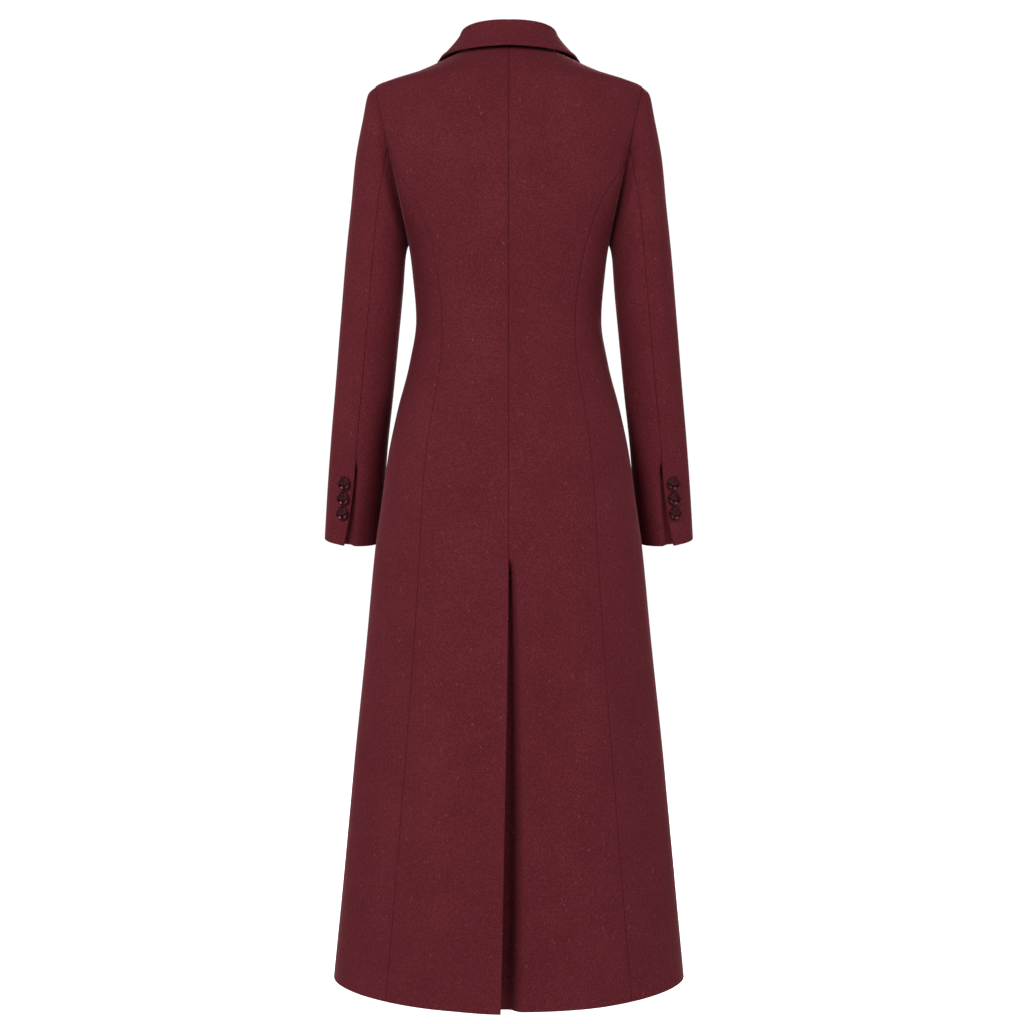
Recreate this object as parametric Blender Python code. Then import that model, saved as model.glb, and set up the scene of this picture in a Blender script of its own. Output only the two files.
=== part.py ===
"""A long fitted wool coat, hollow as it is worn, with a lapped vent at the centre back.

Metres, +Z up. The back faces +Y and the wearer's left side is +X. The origin is the middle of the
neck opening, level with the points where the shoulder seams meet the collar.
"""

import math

import bmesh
import bpy
from mathutils import Vector

for old in list(bpy.data.objects):
    bpy.data.objects.remove(old, do_unlink=True)

# Cloth
CLOTH = 0.0025
SEAM_GAP = 0.0003
ARMHOLE_GAP = 0.0006

# Heights of the cut, down from the neck
NECK_Z = 0.0
SHOULDER_Z = -0.0476
UNDERARM_Z = -0.268
PRINCESS_Z = 0.5 * (SHOULDER_Z + UNDERARM_Z)
WAIST_Z = -0.374
HIP_Z = -0.464
VENT_Z = -0.700
HEM_Z = -1.2867

# Armhole, an oval that leans in towards the underarm
SHOULDER_X = 0.187
UNDERARM_X = 0.1405
ARMHOLE_STEPS = 12

# Side seam, from the underarm to just in front of the widest point
SIDE_SEAM = math.radians(97.0)
SIDE_SETTLE = 0.05

# Hem, a little longer at the centre back
HEM_DIP = 0.0075
HEM_DIP_RISE = 0.30

# Centre-back vent: the left panel laps over the right one
VENT_SETTLE = 0.020
VENT_TURN = 0.040
FLAP_SWING = 0.0100
FLAP_EASE = 1.3
FLAP_LIFT = 0.010
FLAP_SPREAD = 0.070
UNDERLAP = 0.075
UNDERLAP_TOP_DIP = 0.012
UNDERLAP_HEM_DIP = 0.026
UNDERLAP_TOP_SPREAD = 0.007
UNDERLAP_HEM_SPREAD = 0.018
UNDERLAP_BULGE = 0.0042
UNDERLAP_HANG = 0.012
UNDERLAP_HANG_SPREAD = 0.130

# Front closure: the right front laps over the left one
FRONT_LAP = 0.028
FRONT_SPREAD = 0.045
BREAK_Z = -0.262
GORGE_Z = -0.036
GORGE_X = 0.054
LAPEL_ROLL = 0.0026
LAPEL_REST = 0.0014
LAPEL_SETTLE = 0.71
LAPEL_SLANT = 0.046

# Buttons
CUFF_BUTTONS = 3
CUFF_BUTTON_RADIUS = 0.0099
CUFF_BUTTON_PITCH = 0.0200
CUFF_BUTTON_TURN = math.radians(70.5)
CUFF_BUTTON_TOP_Z = -0.5995
FRONT_BUTTONS = 4
FRONT_BUTTON_RADIUS = 0.0125
FRONT_BUTTON_TOP_Z = -0.2855
FRONT_BUTTON_PITCH = 0.110
BUTTON_THICKNESS = 0.0034

# Sleeve seams, as turns round the arm from its outer side, positive to the back
ELBOW_SEAM = math.radians(90.0)
FRONT_ARM_SEAM = math.radians(-105.0)
CUFF_VENT_Z = -0.562
CUFF_LAP = math.radians(20.0)
CUFF_SWING = math.radians(12.5)
CUFF_LIFT = 0.0022
CUFF_DIP = 0.0095
CUFF_DIP_SPREAD = math.radians(10.0)

WOOL = ("wool", (0.127, 0.019, 0.027), 0.92)
BUTTON_RESIN = ("button resin", (0.018, 0.004, 0.006), 0.22)
FOLD_ANGLE = math.radians(40.0)


class Sizes:
    """A short table of sizes, read between its rows along a smooth curve."""

    def __init__(self, columns, rows):
        self.columns = columns
        self.rows = sorted(rows)

    def rise(self, column, index):
        return ((self.rows[index + 1][column] - self.rows[index][column])
                / (self.rows[index + 1][0] - self.rows[index][0]))

    def slope(self, column, index):
        last = len(self.rows) - 1
        if index == 0:
            return self.rise(column, 0)
        if index == last:
            return self.rise(column, last - 1)
        before = self.rise(column, index - 1)
        after = self.rise(column, index)
        if before * after <= 0.0:
            return 0.0
        return 2.0 * before * after / (before + after)

    def read(self, name, key):
        rows = self.rows
        column = self.columns.index(name)
        key = min(max(key, rows[0][0]), rows[-1][0])
        index = next(k for k in range(len(rows) - 1) if key <= rows[k + 1][0])
        span = rows[index + 1][0] - rows[index][0]
        t = (key - rows[index][0]) / span
        ease = t * t * (3.0 - 2.0 * t)
        leave = self.slope(column, index) * span * t * (1.0 - t) ** 2
        arrive = self.slope(column, index + 1) * span * t * t * (1.0 - t)
        return rows[index][column] * (1.0 - ease) + rows[index + 1][column] * ease + leave - arrive


# Sections of the body, level by level. side_y is where each ring is widest. flatness shapes a ring
# across the middle of the back and front, and roundness at its sides; both are 2 for an ellipse.
# Between the shoulder and the underarm the rings run past the armhole, which cuts them short.
BODY = Sizes(
    ("z", "half_width", "back", "front", "side_y", "flatness", "roundness"),
    (
        (0.0000, 0.0654, 0.066, 0.066, 0.000, 2.00, 2.00),
        (-0.0133, 0.0935, 0.079, 0.077, 0.000, 2.02, 1.80),
        (-0.0294, 0.1305, 0.091, 0.088, 0.000, 2.05, 1.60),
        (SHOULDER_Z, SHOULDER_X, 0.101, 0.097, 0.000, 2.08, 1.52),
        (-0.0560, 0.1935, 0.104, 0.100, 0.000, 2.08, 1.57),
        (-0.0750, 0.1970, 0.109, 0.106, 0.000, 2.10, 1.70),
        (-0.1000, 0.1954, 0.114, 0.113, 0.000, 2.12, 1.88),
        (-0.1320, 0.1878, 0.119, 0.121, 0.000, 2.15, 2.05),
        (-0.1970, 0.1690, 0.119, 0.133, 0.000, 2.20, 2.20),
        (-0.2350, 0.1545, 0.116, 0.135, 0.000, 2.18, 2.18),
        (UNDERARM_Z, UNDERARM_X, 0.111, 0.132, 0.000, 2.15, 2.15),
        (-0.3110, 0.1345, 0.103, 0.123, 0.001, 2.12, 2.12),
        (-0.3740, 0.1295, 0.097, 0.114, 0.003, 2.10, 2.10),
        (-0.4368, 0.1388, 0.106, 0.118, 0.006, 2.08, 2.08),
        (-0.4998, 0.1548, 0.119, 0.127, 0.009, 2.05, 2.05),
        (-0.5628, 0.1677, 0.131, 0.135, 0.012, 2.03, 2.03),
        (-0.6280, 0.1768, 0.139, 0.142, 0.013, 2.01, 2.01),
        (-0.6930, 0.1858, 0.146, 0.148, 0.014, 2.00, 2.00),
        (-0.8218, 0.1978, 0.158, 0.160, 0.015, 2.00, 2.00),
        (-0.9898, 0.2146, 0.173, 0.176, 0.015, 2.00, 2.00),
        (-1.1578, 0.2302, 0.187, 0.190, 0.015, 2.00, 2.00),
        (-1.2922, 0.2436, 0.197, 0.201, 0.015, 2.00, 2.00),
        (-1.3100, 0.2453, 0.199, 0.203, 0.015, 2.00, 2.00),
    ),
)

# Distance of the side-back seam from the centre back
PRINCESS = Sizes(
    ("z", "x"),
    (
        (-0.1850, 0.1470), (-0.2150, 0.1285), (-0.2400, 0.1180), (-0.2700, 0.1080), (-0.2900, 0.1030),
        (-0.3550, 0.0934), (-0.3940, 0.0912), (-0.4400, 0.0936), (-0.4970, 0.1025), (-0.5340, 0.1080),
        (-0.5860, 0.1140), (-0.6530, 0.1180), (-0.6970, 0.1200), (-1.1080, 0.1490), (-1.3100, 0.1650),
    ),
)

# Edge of the front above the break: the line that the lapel rolls on, then the neck
FRONT_NECK = Sizes(
    ("z", "x"),
    ((BREAK_Z, -FRONT_LAP), (-0.143, 0.012), (GORGE_Z, GORGE_X), (-0.018, 0.0605), (NECK_Z, 0.0642)),
)

# How far the left front lies behind the right one
FRONT_DIP = Sizes(
    ("z", "dip"),
    ((-1.310, 0.0034), (-0.310, 0.0034), (BREAK_Z, 0.0096), (-0.160, 0.0090), (-0.090, 0.0010), (0.0, 0.0)),
)

# Lapel, from the break (0) to the gorge (1)
LAPEL = Sizes(
    ("along", "width"),
    ((0.00, 0.006), (0.15, 0.021), (0.35, 0.039), (0.60, 0.057), (0.80, 0.068), (1.00, 0.072)),
)

# Sleeve rings from the armhole (0) to the cuff, from the underarm side to the outer side
SLEEVE = Sizes(
    ("ring", "inner_x", "inner_z", "outer_x", "outer_z", "back", "front", "middle_y", "slant"),
    (
        (0, UNDERARM_X, UNDERARM_Z, SHOULDER_X, SHOULDER_Z, 0.0560, 0.0560, 0.000, 0.000),
        (1, 0.1416, -0.2700, 0.1976, -0.0576, 0.0590, 0.0590, 0.000, 0.000),
        (2, 0.1428, -0.2730, 0.2058, -0.0960, 0.0618, 0.0615, 0.000, 0.000),
        (3, 0.1442, -0.2780, 0.2157, -0.1510, 0.0630, 0.0625, 0.000, 0.000),
        (4, 0.1458, -0.2890, 0.2215, -0.2130, 0.0620, 0.0615, 0.001, 0.000),
        (5, 0.1484, -0.3280, 0.2290, -0.2850, 0.0595, 0.0590, 0.003, 0.000),
        (6, 0.1546, -0.3950, 0.2362, -0.3740, 0.0560, 0.0555, 0.002, 0.000),
        (7, 0.1630, -0.4750, 0.2446, -0.4670, 0.0525, 0.0520, -0.010, 0.001),
        (8, 0.1725, -0.5560, 0.2530, -0.5500, 0.0500, 0.0495, -0.026, 0.003),
        (9, 0.1780, -0.6240, 0.2590, -0.6180, 0.0482, 0.0478, -0.040, 0.006),
        (10, 0.1840, -0.6854, 0.2636, -0.6798, 0.0470, 0.0465, -0.052, 0.008),
    ),
)
CUFF_RING = 10.0

# Collar from the centre back (0) to the end at the gorge (1). The seat is the angle round the back
# neck, then the height down the front neck; the edge is where the fall ends on the shoulders.
COLLAR = Sizes(
    ("along", "seat_turn", "seat_z", "stand", "lean", "fold", "edge_turn", "edge_z", "edge_lift"),
    (
        (0.00, 0.0, 0.000, 0.0260, 32.0, 0.0042, 0.0, -0.0130, 0.0074),
        (0.20, 36.0, 0.000, 0.0262, 40.0, 0.0042, 31.2, -0.0135, 0.0056),
        (0.40, 68.0, 0.000, 0.0241, 50.0, 0.0042, 60.1, -0.0135, 0.0035),
        (0.55, 90.0, 0.000, 0.0200, 52.0, 0.0040, 87.0, -0.0140, 0.0027),
        (0.60, 101.0, 0.000, 0.0192, 49.5, 0.0039, 95.0, -0.0155, 0.0026),
        (0.70, 101.0, -0.006, 0.0178, 44.0, 0.0037, 109.5, -0.0200, 0.0024),
        (0.85, 101.0, -0.020, 0.0110, 26.0, 0.0032, 132.0, -0.0330, 0.0022),
        (0.925, 101.0, -0.028, 0.0058, 13.0, 0.0029, 141.4, -0.0400, 0.0020),
        (1.00, 101.0, GORGE_Z, 0.0010, 0.0, LAPEL_ROLL, 146.5, -0.0470, 0.0018),
    ),
)
NECK_POINT = 0.60
COLLAR_SEAT = 0.0009
COLLAR_BULGE = 0.18
COLLAR_CROWN = 0.008


def smooth(t):
    """Ease from 0 to 1."""
    t = min(max(t, 0.0), 1.0)
    return t * t * (3.0 - 2.0 * t)


def mix(start, end, t):
    return start + (end - start) * t


# Surface of the body

def body_point(angle, z):
    """Point on the outside of the coat; the angle runs from the centre back to the left side."""
    across, along = math.sin(angle), math.cos(angle)
    depth = BODY.read("back" if along >= 0.0 else "front", z)
    x = BODY.read("half_width", z) * abs(across) ** (2.0 / BODY.read("flatness", z))
    y = depth * abs(along) ** (2.0 / BODY.read("roundness", z))
    return Vector((math.copysign(x, across), BODY.read("side_y", z) + math.copysign(y, along), z))


ANGLE_STEP = 0.004
HEIGHT_STEP = 0.002


def body_around(angle, z):
    return (body_point(angle + ANGLE_STEP, z) - body_point(angle - ANGLE_STEP, z)) / (2.0 * ANGLE_STEP)


def body_normal(angle, z):
    above = body_point(angle, min(z + HEIGHT_STEP, NECK_Z))
    below = body_point(angle, z - HEIGHT_STEP)
    return (above - below).cross(body_around(angle, z)).normalized()


def angle_at(x, z, facing):
    """Angle of the point that lies x to the left of the centre of the back (1) or the front (-1)."""
    share = min(abs(x) / BODY.read("half_width", z), 1.0)
    turn = math.copysign(math.asin(share ** (0.5 * BODY.read("flatness", z))), x)
    return turn if facing > 0 else math.pi - turn


def half_gap(angle, z):
    return 0.5 * SEAM_GAP / body_around(angle, z).length


def armhole_angle(z, facing):
    return angle_at(mix(UNDERARM_X, SHOULDER_X, (z - UNDERARM_Z) / (SHOULDER_Z - UNDERARM_Z)), z, facing)


def outer_edge(z, facing):
    """Angle of the shoulder seam or the armhole, where the back and the fronts end."""
    if z < SHOULDER_Z:
        return armhole_angle(z, facing)
    return 0.5 * math.pi - facing * half_gap(0.5 * math.pi, z)


def side_seam(z):
    return mix(0.5 * math.pi, SIDE_SEAM, smooth((UNDERARM_Z - z) / SIDE_SETTLE))


def hem_drop(angle, z):
    """How far the hem is let down towards the centre back."""
    return HEM_DIP * max(math.cos(angle), 0.0) ** 2 * smooth((HEM_Z + HEM_DIP_RISE - z) / HEM_DIP_RISE)


# Making the pieces

coat = bpy.data.collections.new("long coat")
bpy.context.scene.collection.children.link(coat)
wearer = bpy.data.objects.new("coat_root", None)
coat.objects.link(wearer)


def finish(name, mesh, look):
    """Put a mesh in the coat as a named object with its own finish."""
    label, colour, roughness = look
    material = bpy.data.materials.new(label + " " + name)
    material.use_nodes = True
    shader = material.node_tree.nodes["Principled BSDF"]
    shader.inputs["Base Color"].default_value = (*colour, 1.0)
    shader.inputs["Roughness"].default_value = roughness
    shader.inputs["Metallic"].default_value = 0.0
    mesh.materials.append(material)
    mesh.shade_smooth()
    mesh.set_sharp_from_angle(angle=FOLD_ANGLE)
    piece = bpy.data.objects.new(name, mesh)
    piece.parent = wearer
    coat.objects.link(piece)
    return piece


def wall(name, columns, rows, outside, inside):
    """A closed sheet of cloth from a grid, with its outer and inner faces placed by two functions."""
    sheet = bmesh.new()
    bmesh.ops.create_grid(sheet, x_segments=columns, y_segments=rows, size=0.5)
    face_side = sheet.verts[:]
    made = bmesh.ops.extrude_face_region(sheet, geom=sheet.faces[:], use_keep_orig=True)
    back_side = [part for part in made["geom"] if isinstance(part, bmesh.types.BMVert)]
    for points, place in ((face_side, outside), (back_side, inside)):
        for point in points:
            point.co = place(point.co.x + 0.5, point.co.y + 0.5)
    bmesh.ops.recalc_face_normals(sheet, faces=sheet.faces[:])
    mesh = bpy.data.meshes.new(name)
    sheet.to_mesh(mesh)
    sheet.free()
    return finish(name, mesh, WOOL)


def mirrored(point, side):
    return Vector((side * point.x, point.y, point.z))


def levels(*marks):
    """Heights of the rows of a panel: each mark is a height and the rows up to the next one."""
    heights = []
    for (low, count), (high, _) in zip(marks, marks[1:]):
        heights += [mix(low, high, k / count) for k in range(count)]
    return heights + [marks[-1][0]]


def armhole_levels(first, last):
    """Rows at even turns round the armhole, counted down from the shoulder, lowest row first."""
    half = 0.5 * (SHOULDER_Z - UNDERARM_Z)
    turns = [math.pi * k / ARMHOLE_STEPS for k in range(last, first - 1, -1)]
    return [PRINCESS_Z + half * math.cos(turn) for turn in turns]


def even(count):
    return [k / count for k in range(count + 1)]


def body_panel(name, side, heights, shares, near, far, drape):
    """A panel of the body between two edges given as angles, on the left (1) or the right (-1)."""
    rows = len(heights) - 1
    columns = len(shares) - 1

    def place(across, up, depth):
        z = heights[round(up * rows)]
        angle = mix(near(z), far(z), shares[round(across * columns)])
        z -= hem_drop(angle, z)
        point = body_point(angle, z)
        return mirrored(point + body_normal(angle, z) * (drape(point.x, z) - depth), side)

    return wall(name, columns, rows,
                lambda across, up: place(across, up, 0.0),
                lambda across, up: place(across, up, CLOTH))


def flat(x, z):
    return 0.0


# Back panels

def vent_opening(z):
    """How far down the vent a height lies, 0 at its top and 1 at the hem."""
    return max(0.0, (VENT_Z - z) / (VENT_Z - HEM_Z))


def back_outer(z):
    if z >= PRINCESS_Z:
        return outer_edge(z, 1)
    angle = princess_angle(z)
    return angle - half_gap(angle, z)


def princess_angle(z):
    start = PRINCESS.rows[-1]
    if z <= start[0]:
        return angle_at(PRINCESS.read("x", z), z, 1)
    top = body_point(armhole_angle(PRINCESS_Z, 1), PRINCESS_Z).x
    return angle_at(mix(top, start[1], (PRINCESS_Z - z) / (PRINCESS_Z - start[0])), z, 1)


def flap_swing(z):
    return FLAP_SWING * vent_opening(z) ** FLAP_EASE


def flap_edge(z):
    return angle_at(flap_swing(z) + 0.5 * SEAM_GAP, z, 1)


def flap_drape(x, z):
    beside = (x - flap_swing(z)) / FLAP_SPREAD
    return FLAP_LIFT * vent_opening(z) * smooth(1.0 - beside)


def underlap_edge(z):
    turned = smooth((VENT_Z - VENT_SETTLE - z) / VENT_TURN)
    return angle_at(mix(0.5 * SEAM_GAP, -UNDERLAP, turned), z, 1)


def underlap_drape(x, z):
    opening = vent_opening(z)
    dip = mix(UNDERLAP_TOP_DIP, UNDERLAP_HEM_DIP, opening) * smooth((VENT_Z - z) / VENT_SETTLE)
    spread = mix(UNDERLAP_TOP_SPREAD, UNDERLAP_HEM_SPREAD, math.sqrt(opening))
    fold = UNDERLAP_BULGE * 4.0 * opening * max(1.0 - opening, 0.0)
    hang = UNDERLAP_HANG * opening * smooth(1.0 - x / UNDERLAP_HANG_SPREAD)
    return -dip * smooth(1.0 - (x - fold) / spread) - hang


skirt_levels = levels((HEM_Z, 7), (VENT_Z - VENT_SETTLE - VENT_TURN, 2), (VENT_Z - VENT_SETTLE, 1),
                      (VENT_Z, 4), (HIP_Z, 2), (WAIST_Z, 3), (UNDERARM_Z, 0))[:-1]
shoulder_levels = levels((SHOULDER_Z, 1), (GORGE_Z, 3), (NECK_Z, 0))[1:]
SIDE_TIP = 0.003
side_levels = (skirt_levels + armhole_levels(ARMHOLE_STEPS // 2 + 1, ARMHOLE_STEPS)
               + [PRINCESS_Z - SIDE_TIP])
back_levels = side_levels + armhole_levels(0, ARMHOLE_STEPS // 2) + shoulder_levels
BACK_COLUMNS = even(8)
UNDERLAP_COLUMNS = (0.0, 0.17, 0.31, 0.39, 0.47, 0.60, 0.73, 0.87, 1.0)
body_panel("back_left", 1, back_levels, BACK_COLUMNS, flap_edge, back_outer, flap_drape)
body_panel("back_right", -1, back_levels, UNDERLAP_COLUMNS, underlap_edge, back_outer, underlap_drape)

# Side-back panels, which run out to a point where the seam meets the armhole


def side_back_inner(z):
    angle = princess_angle(z)
    return angle + half_gap(angle, z)


def side_back_outer(z):
    if z > UNDERARM_Z:
        return armhole_angle(z, 1)
    return side_seam(z) - half_gap(SIDE_SEAM, z)


SIDE_COLUMNS = even(5)
for name, side in (("side_back_left", 1), ("side_back_right", -1)):
    body_panel(name, side, side_levels, SIDE_COLUMNS, side_back_inner, side_back_outer, flat)


# Fronts

def front_edge(z):
    x = FRONT_NECK.read("x", z) if z > BREAK_Z else -FRONT_LAP
    return angle_at(x, z, -1)


def front_outer(z):
    if z >= UNDERARM_Z:
        return outer_edge(z, -1)
    return side_seam(z) + half_gap(SIDE_SEAM, z)


def under_front_drape(x, z):
    return -FRONT_DIP.read("dip", z) * smooth(1.0 - (x - FRONT_LAP) / FRONT_SPREAD)


front_levels = skirt_levels + armhole_levels(0, ARMHOLE_STEPS) + shoulder_levels
FRONT_COLUMNS = even(10)
body_panel("front_left", 1, front_levels, FRONT_COLUMNS, front_edge, front_outer, under_front_drape)
body_panel("front_right", -1, front_levels, FRONT_COLUMNS, front_edge, front_outer, flat)


# Lapels and collar are rolled sheets: a middle surface with half the cloth on each side

SHEET_STEP = 0.004


def rolled_sheet(name, columns, rows, middle, side):
    def place(across, up, depth):
        left, right = max(across - SHEET_STEP, 0.0), min(across + SHEET_STEP, 1.0)
        below, above = max(up - SHEET_STEP, 0.0), min(up + SHEET_STEP, 1.0)
        over = middle(right, up) - middle(left, up)
        along = middle(across, above) - middle(across, below)
        normal = over.cross(along).normalized()
        return mirrored(middle(across, up) + normal * depth, side)

    return wall(name, columns, rows,
                lambda across, up: place(across, up, 0.5 * CLOTH),
                lambda across, up: place(across, up, -0.5 * CLOTH))


def roll(seat, towards, outward, radius, turned):
    """Point on a half-turn that leaves the seat and comes back above it."""
    turn = math.pi * turned
    return seat + towards * (radius * math.sin(turn)) + outward * (radius * (1.0 - math.cos(turn)))


ROLL_SHARE = 0.36


def lapel_middle(across, up, drape):
    """Middle of the lapel's cloth, from the roll at the front's edge to the lapel's own edge."""
    roll_z = mix(BREAK_Z, GORGE_Z - SEAM_GAP, up)
    turned = min(across / ROLL_SHARE, 1.0)
    spread = max(across - ROLL_SHARE, 0.0) / (1.0 - ROLL_SHARE)
    z = roll_z - LAPEL_SLANT * spread * up ** 2
    x = FRONT_NECK.read("x", roll_z) + LAPEL.read("width", up) * spread
    angle = angle_at(x, z, -1)
    normal = body_normal(angle, z)
    surface = body_point(angle, z) + normal * (drape(x, z) - 0.5 * CLOTH)
    if across <= ROLL_SHARE:
        towards = body_around(angle, z).normalized()
        return roll(surface + towards * SEAM_GAP, towards, normal, LAPEL_ROLL, turned)
    towards = body_around(angle, z).normalized() * SEAM_GAP * (1.0 - spread)
    height = mix(2.0 * LAPEL_ROLL, CLOTH + LAPEL_REST, smooth(spread / LAPEL_SETTLE))
    return surface + towards + normal * height


LAPEL_COLUMNS = 11
LAPEL_ROWS = 10
for name, side, drape in (("lapel_left", 1, under_front_drape), ("lapel_right", -1, flat)):
    rolled_sheet(name, LAPEL_COLUMNS, LAPEL_ROWS,
                 lambda across, up, drape=drape: lapel_middle(across, up, drape), side)

STAND_SHARE = 0.22
FOLD_SHARE = 0.30
SEAT_STEP = 0.01


def collar_seat(along):
    """Place and outward normal where the stand is sewn to the neck."""
    z = COLLAR.read("seat_z", along)
    if along <= NECK_POINT:
        angle = math.radians(COLLAR.read("seat_turn", along))
        z = NECK_Z
    else:
        angle = angle_at(FRONT_NECK.read("x", z), z, -1)
    return body_point(angle, z), body_normal(angle, z)


def collar_middle(across, up):
    """Middle of the collar's cloth: across goes round the neck, up goes over the fold to the edge."""
    side = 1.0 if across >= 0.5 else -1.0
    along = abs(2.0 * across - 1.0)
    seat, normal = collar_seat(along)
    before, _ = collar_seat(max(along - SEAT_STEP, 0.0))
    after, _ = collar_seat(min(along + SEAT_STEP, 1.0))
    run = (after - before).normalized()
    if along < SEAT_STEP:
        run = Vector((1.0, 0.0, 0.0))
    inward = run.cross(normal).normalized()
    lean = math.radians(COLLAR.read("lean", along))
    towards = inward * math.cos(lean) + normal * math.sin(lean)
    outward = normal * math.cos(lean) - inward * math.sin(lean)
    stand = COLLAR.read("stand", along)
    fold = COLLAR.read("fold", along)
    base = seat + towards * COLLAR_SEAT - outward * (0.5 * CLOTH)
    if up <= STAND_SHARE:
        return mirrored(base + towards * (stand * up / STAND_SHARE), side)
    top = base + towards * stand
    if up <= STAND_SHARE + FOLD_SHARE:
        return mirrored(roll(top, towards, outward, fold, (up - STAND_SHARE) / FOLD_SHARE), side)
    fall = (up - STAND_SHARE - FOLD_SHARE) / (1.0 - STAND_SHARE - FOLD_SHARE)
    start = top + outward * (2.0 * fold)
    edge_z = COLLAR.read("edge_z", along)
    edge_angle = math.radians(COLLAR.read("edge_turn", along))
    lift = 0.5 * CLOTH + COLLAR.read("edge_lift", along)
    edge = body_point(edge_angle, edge_z) + body_normal(edge_angle, edge_z) * lift
    bend = mix(start - towards * (COLLAR_BULGE * (edge - start).length),
               0.5 * (start + edge) + normal * COLLAR_CROWN,
               smooth((along - NECK_POINT) / (1.0 - NECK_POINT)))
    point = start * (1.0 - fall) ** 2 + bend * (2.0 * fall * (1.0 - fall)) + edge * fall ** 2
    return mirrored(point, side)


COLLAR_COLUMNS = 24
COLLAR_ROWS = 13
rolled_sheet("collar", COLLAR_COLUMNS, COLLAR_ROWS, collar_middle, 1)


# Sleeves

ARMHOLE_FADE = 3.0
SHOULDER_SHARE = 0.2


def sleeve_point(turn, place):
    """Point on the outside of the sleeve, which starts from the armhole's own edge."""
    point = sleeve_oval(turn, place)
    if place < ARMHOLE_FADE:
        seam = sleeve_oval(turn, 0.0)
        z = min(max(seam.z, UNDERARM_Z), SHOULDER_Z)
        edge = body_point(armhole_angle(z, 1 if math.sin(turn) >= 0.0 else -1), z)
        point.y += (edge.y - seam.y) * (1.0 - smooth(place / ARMHOLE_FADE))
    return point


def sleeve_oval(turn, place):
    sizes = {name: SLEEVE.read(name, place) for name in SLEEVE.columns[1:]}
    inner = Vector((sizes["inner_x"], 0.0, sizes["inner_z"]))
    outer = Vector((sizes["outer_x"], 0.0, sizes["outer_z"]))
    depth = sizes["back"] if math.sin(turn) >= 0.0 else sizes["front"]
    sway = math.sin(turn)
    swing = Vector((ARMHOLE_GAP, sizes["middle_y"] + depth * sway, -sizes["slant"] * sway))
    return 0.5 * (inner + outer) + 0.5 * (outer - inner) * math.cos(turn) + swing


TURN_STEP = 0.004
RING_STEP = 0.02
RING_HALVINGS = 40


def sleeve_around(turn, place):
    return (sleeve_point(turn + TURN_STEP, place) - sleeve_point(turn - TURN_STEP, place)) / (2.0 * TURN_STEP)


def sleeve_normal(turn, place):
    down = (sleeve_point(turn, min(place + RING_STEP, CUFF_RING))
            - sleeve_point(turn, max(place - RING_STEP, 0.0)))
    own = down.cross(sleeve_around(turn, place)).normalized()
    if place > 0.0 or math.cos(turn) < SHOULDER_SHARE:
        return own
    seam_z = sleeve_point(turn, 0.0).z
    facing = 1 if math.sin(turn) >= 0.0 else -1
    joined = body_normal(armhole_angle(min(seam_z, SHOULDER_Z), facing), seam_z)
    return mix(joined, own, smooth((1.0 - math.cos(turn)) / (1.0 - SHOULDER_SHARE))).normalized()


def ring_at(z):
    """Place down the sleeve where its middle is at one height."""
    low, high = 0.0, CUFF_RING
    for _ in range(RING_HALVINGS):
        middle = 0.5 * (low + high)
        if 0.5 * (SLEEVE.read("inner_z", middle) + SLEEVE.read("outer_z", middle)) > z:
            low = middle
        else:
            high = middle
    return low


CUFF_VENT = ring_at(CUFF_VENT_Z)
CUFF_SETTLE = 0.35


def cuff_opening(place):
    return max(0.0, (place - CUFF_VENT) / (CUFF_RING - CUFF_VENT))


def sleeve_gap(seam, place):
    """Half the gap of a seam as a turn, square to the seam and wider where the cloth twists."""
    before, after = max(place - RING_STEP, 0.0), min(place + RING_STEP, CUFF_RING)
    run = (sleeve_point(seam(after), after) - sleeve_point(seam(before), before)).normalized()
    gap = SEAM_GAP * (2.0 - smooth(place))
    return 0.5 * gap / sleeve_around(seam(place), place).cross(run).length


def elbow_seam(place):
    return ELBOW_SEAM


def upper_edge(place):
    return elbow_seam(place) - CUFF_SWING * cuff_opening(place) ** 2 - sleeve_gap(elbow_seam, place)


def upper_drape(turn, place):
    return CUFF_LIFT * cuff_opening(place) * smooth(1.0 - (upper_edge(place) - turn) / CUFF_LAP)


def under_edge(place):
    turned = smooth((place - CUFF_VENT - CUFF_SETTLE) / CUFF_SETTLE)
    return elbow_seam(place) + sleeve_gap(elbow_seam, place) * (1.0 - turned) - CUFF_LAP * turned


def under_drape(turn, place):
    settled = smooth((place - CUFF_VENT) / CUFF_SETTLE)
    return -CUFF_DIP * settled * smooth(1.0 - (turn - ELBOW_SEAM) / CUFF_DIP_SPREAD)


def sleeve_panel(name, side, places, columns, near, far, drape):
    rows = len(places) - 1

    def place_point(across, up, depth):
        place = places[round(up * rows)]
        turn = mix(near(place), far(place), across)
        lift = drape(turn, place) - depth
        return mirrored(sleeve_point(turn, place) + sleeve_normal(turn, place) * lift, side)

    return wall(name, columns, rows,
                lambda across, up: place_point(across, up, 0.0),
                lambda across, up: place_point(across, up, CLOTH))


def front_arm_seam(place):
    return FRONT_ARM_SEAM


def upper_front_edge(place):
    return FRONT_ARM_SEAM + sleeve_gap(front_arm_seam, place)


def under_front_edge(place):
    return FRONT_ARM_SEAM + 2.0 * math.pi - sleeve_gap(front_arm_seam, place)


sleeve_places = levels((0.0, 7), (5.0, 4), (CUFF_VENT, 1), (CUFF_VENT + CUFF_SETTLE, 1),
                       (CUFF_VENT + 2.0 * CUFF_SETTLE, 3), (CUFF_RING, 0))
UPPER_COLUMNS = 13
UNDER_COLUMNS = 11
for hand, side in (("left", 1), ("right", -1)):
    sleeve_panel("upper_sleeve_" + hand, side, sleeve_places, UPPER_COLUMNS,
                 upper_front_edge, upper_edge, upper_drape)
    sleeve_panel("under_sleeve_" + hand, side, sleeve_places, UNDER_COLUMNS,
                 under_edge, under_front_edge, under_drape)

# Buttons

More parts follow.
